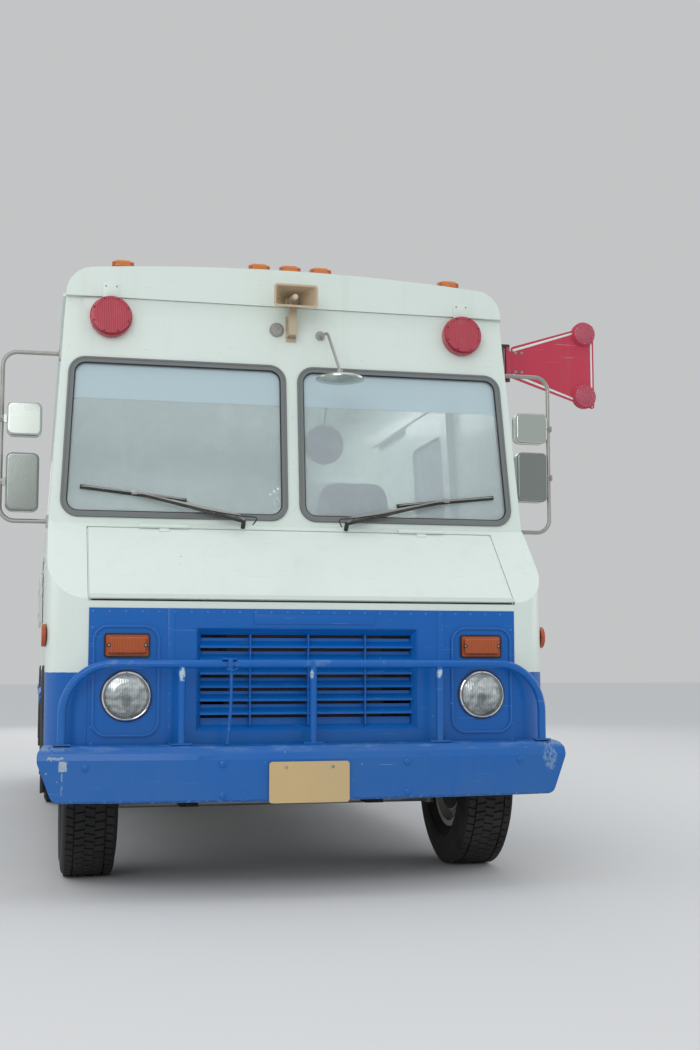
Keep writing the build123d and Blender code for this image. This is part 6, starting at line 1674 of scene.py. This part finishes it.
def driverSeat():
    s = seatSet
    x = s["x"]
    half, y0, y1, z0, z1 = s["cushion"]
    cushionForm("seatCushion", (x - half, y0, z0 + 0.002), (x + half, y1, z1), 2,
                {"out": 1, "at": [x - 0.10, x, x + 0.10]}, "wornVinyl")
    half, y0, y1, z0, z1 = s["back"]
    cushionForm("seatBack", (x - half, y0, z0 - 0.035), (x + half, y1, z1), 1,
                {"out": -1, "at": [x - 0.095, x, x + 0.095]}, "wornVinyl")
    half, y0, y1 = s["pedestal"]
    base = Build()
    base.block((x - half, y0, cabSet["floor"]), (x + half, y1, 1.113), 0.010)
    base.block((x - half - 0.018, y0 - 0.02, 1.085), (x + half + 0.018, y1 + 0.02, 1.113), 0.004)
    for k in (-1, 1):
        base.tube([(x + k * 0.120, y, z) for y, z in
                   ((0.850, 1.100), (0.930, 1.110), (0.955, 1.200), (0.958, 1.320))], 0.011, 8, 4)
    pedestal = base.done("seatPedestal", "root", "chassisBlack", "chassis")
    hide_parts("driver_seat")


driverSeat()
print("cab trimmed")

# Galley: cupboard doors, machine front with levers and drip tray, sink tap and counter edge

galleySet = {"x": 0.430, "y": (2.000, 4.850), "top": 1.600, "doors": 6, "gap": 0.012,
             "machine": (0.450, 2.060, 2.620, 1.930), "sink": (0.680, 3.900, 0.160, 0.220, 0.016)}


def galleyTrim():
    g = galleySet
    x = g["x"]
    y0, y1 = g["y"]
    doors, handles, counter = Build(), Build(), Build()
    bays = spread(y0 + 0.03, y1 - 0.03, g["doors"])
    for a, b in zip(bays, bays[1:]):
        b -= g["gap"]
        low = 0.800 if b < 2.74 or a > 3.62 else 0.880
        doors.block((x - 0.012, a, low), (x + 0.001, b, g["top"] - 0.090), 0.003)
        middle = (a + b) / 2
        handles.tube([(x - out, middle + dy, 1.455) for out, dy in
                      ((0.012, -0.07), (0.034, -0.06), (0.034, 0.06), (0.012, 0.07))], 0.005, 8, 3)
        for z in (low + 0.10, 1.36):
            handles.block((x - 0.016, a + 0.002, z - 0.03), (x - 0.011, a + 0.014, z + 0.03), 0.001)
    counter.block((x - 0.012, y0 - 0.004, g["top"] - 0.028), (x + 0.002, y1 + 0.004, g["top"] + 0.002), 0.003)
    face, my0, my1, machineTop = g["machine"]
    top = g["top"]
    levers = Build()
    counter.block((face - 0.0035, my0 + 0.03, top + 0.03), (face + 0.001, my1 - 0.03, machineTop - 0.025),
                  0.0015)
    for y in spread(my0 + 0.14, my0 + 0.42, 2):
        levers.rod((face - 0.002, y, 1.790), (face - 0.060, y, 1.790), 0.021, segments=20)
        levers.rod((face - 0.042, y, 1.792), (face - 0.042, y, 1.735), 0.014, 0.010, segments=16)
        levers.tube([(face - 0.050, y, 1.800), (face - 0.060, y, 1.850), (face - 0.085, y, 1.900)],
                    0.0055, 8, 4)
        levers.lathe([(-0.016, 0.0), (-0.010, 0.012), (0.0, 0.015), (0.010, 0.012), (0.016, 0.0)],
                     (face - 0.087, y, 1.903), (0, 0, 1), 16)
    levers.block((face - 0.095, my0 + 0.08, top + 0.002), (face - 0.001, my1 - 0.08, top + 0.028), 0.004)
    for y in spread(my0 + 0.095, my1 - 0.105, 11):
        levers.block((face - 0.090, y, top + 0.0275), (face - 0.006, y + 0.010, top + 0.0310))
    sinkX, sinkY, hx, hy, rim = g["sink"]
    for a, b, c, d in ((-hx, -hy, hx, -hy + rim), (-hx, hy - rim, hx, hy),
                       (-hx, -hy, -hx + rim, hy), (hx - rim, -hy, hx, hy)):
        counter.block((sinkX + a, sinkY + b, top - 0.001), (sinkX + c, sinkY + d, top + 0.008), 0.002)
    tapX = 0.870
    levers.lathe([(0.0, 0.022), (0.012, 0.022), (0.020, 0.014)], (tapX, sinkY, top), (0, 0, 1), 20)
    levers.tube([(x, sinkY, top + rise) for x, rise in
                 ((tapX, 0.010), (tapX, 0.170), (0.820, 0.235), (0.740, 0.225), (0.715, 0.180))],
                0.009, 10, 6)
    doors.done("galleyDoors", "root", "brushedSteel", "stainless")
    handles.done("galleyHandles", "root", "brightChrome", "chrome")
    counter.done("galleyCounter", "root", "brushedSteel", "stainless")
    levers.done("machineLevers", "root", "brightChrome", "chrome")


galleyTrim()

# Underneath: straps and drain plug of the tank, and clamps on the exhaust

underSet = {"tank": (0.430, 0.740, 1.400, 2.150, 0.400), "pipe": (-0.320, 0.470)}


def underTrim():
    u = underSet
    straps, clamps = Build(), Build()
    x0, x1, y0, y1, z0 = u["tank"]
    for y in (y0 + 0.16, y1 - 0.20):
        straps.block((x0 + 0.03, y, z0 - 0.0025), (x1 - 0.03, y + 0.040, z0 + 0.001))
        for x in (x0 + 0.05, x1 - 0.05):
            straps.nut((x, y + 0.020, z0 - 0.002), (0, 0, -1), 0.009, 0.007)
    straps.lathe([(0.0, 0.020), (0.010, 0.020), (0.012, 0.012), (0.012, 0.0)],
                 ((x0 + x1) / 2, (y0 + y1) / 2, z0), (0, 0, -1), 20)
    straps.done("tankStraps", "root", "agedZinc", "bare_steel")
    x, z = u["pipe"]
    for y in (1.44, 2.18):
        clamps.lathe([(-0.010, 0.0300), (0.010, 0.0300), (0.010, 0.0250), (-0.010, 0.0250)],
                     (x, y, z), (0, 1, 0), 24, True)
    clamps.done("exhaustClamps", "root", "rawIron", "cast_iron")


underTrim()
print("galley and underside trimmed")


# Stage: floor, lights and camera

def stage():
    size = 60.0
    floorMesh = bpy.data.meshes.new("studioFloor")
    floorMesh.from_pydata([(-size, -size, 0), (size, -size, 0), (size, size, 0), (-size, size, 0)], [],
                          [(0, 1, 2, 3)])
    floorObj = addObject("studioFloor", floorMesh)
    pale = Finish("studioPale", rough=0.9, specular=0.0)
    pale.put("colour", (0.62, 0.62, 0.615))
    floorMesh.materials.append(pale.material)

    world = bpy.data.worlds.new("studioWorld")
    bpy.context.scene.world = world
    world.use_nodes = True
    tree = world.node_tree
    back = tree.nodes["Background"]
    back.inputs["Color"].default_value = (0.93, 0.96, 1.0, 1)
    back.inputs["Strength"].default_value = 0.84
    seen = tree.nodes.new("ShaderNodeBackground")
    seen.inputs["Color"].default_value = (0.545, 0.555, 0.56, 1)
    seen.inputs["Strength"].default_value = 1.0
    path = tree.nodes.new("ShaderNodeLightPath")
    either = (Val(tree, path.outputs["Is Camera Ray"]).larger(Val(tree, path.outputs["Is Transmission Ray"]))
              .larger(Val(tree, path.outputs["Is Glossy Ray"])))
    blend = tree.nodes.new("ShaderNodeMixShader")
    tree.links.new(either.socket, blend.inputs[0])
    tree.links.new(back.outputs[0], blend.inputs[1])
    tree.links.new(seen.outputs[0], blend.inputs[2])
    tree.links.new(blend.outputs[0], tree.nodes["World Output"].inputs["Surface"])

    inside = bpy.data.lights.new("galleyDome", "AREA")
    inside.shape = "RECTANGLE"
    inside.size, inside.size_y = 1.0, 3.6
    inside.energy = 50
    insideObj = addObject("galleyDome", inside)
    insideObj.location = (0.0, 2.1, 2.46)

    target = Vector((0, 1.5, 1.2))
    lamps = {"overhead": ((0.0, 1.5, 7.5), 9.0, 130), "frontSoft": ((-3.5, -8.0, 5.0), 5.0, 190),
             "sideFill": ((8.5, 1.0, 3.5), 5.0, 90), "kerbFill": ((-8.5, 2.5, 3.5), 5.0, 90),
             "rearSoft": ((1.5, 13.0, 4.5), 5.0, 150)}
    for name, (place, width, power) in lamps.items():
        light = bpy.data.lights.new(name, "AREA")
        light.shape = "SQUARE"
        light.size = width
        light.energy = power
        obj = addObject(name, light)
        obj.location = place
        if name != "overhead":           # that one shines straight down
            obj.rotation_euler = (target - Vector(place)).to_track_quat("-Z", "Y").to_euler()

    camera = bpy.data.cameras.new("photoCamera")
    camera.lens = 46.97
    camera.sensor_width = 36.0
    camera.sensor_fit = "AUTO"
    camera.clip_end = 200.0
    cameraObj = addObject("photoCamera", camera)
    cameraObj.location = (-1.038, -5.853, 0.853)
    cameraObj.rotation_euler = (math.radians(95.87), 0.0, math.radians(-12.89))
    bpy.context.scene.camera = cameraObj
    bpy.context.scene.view_settings.view_transform = "Standard"


stage()
print("stage set")
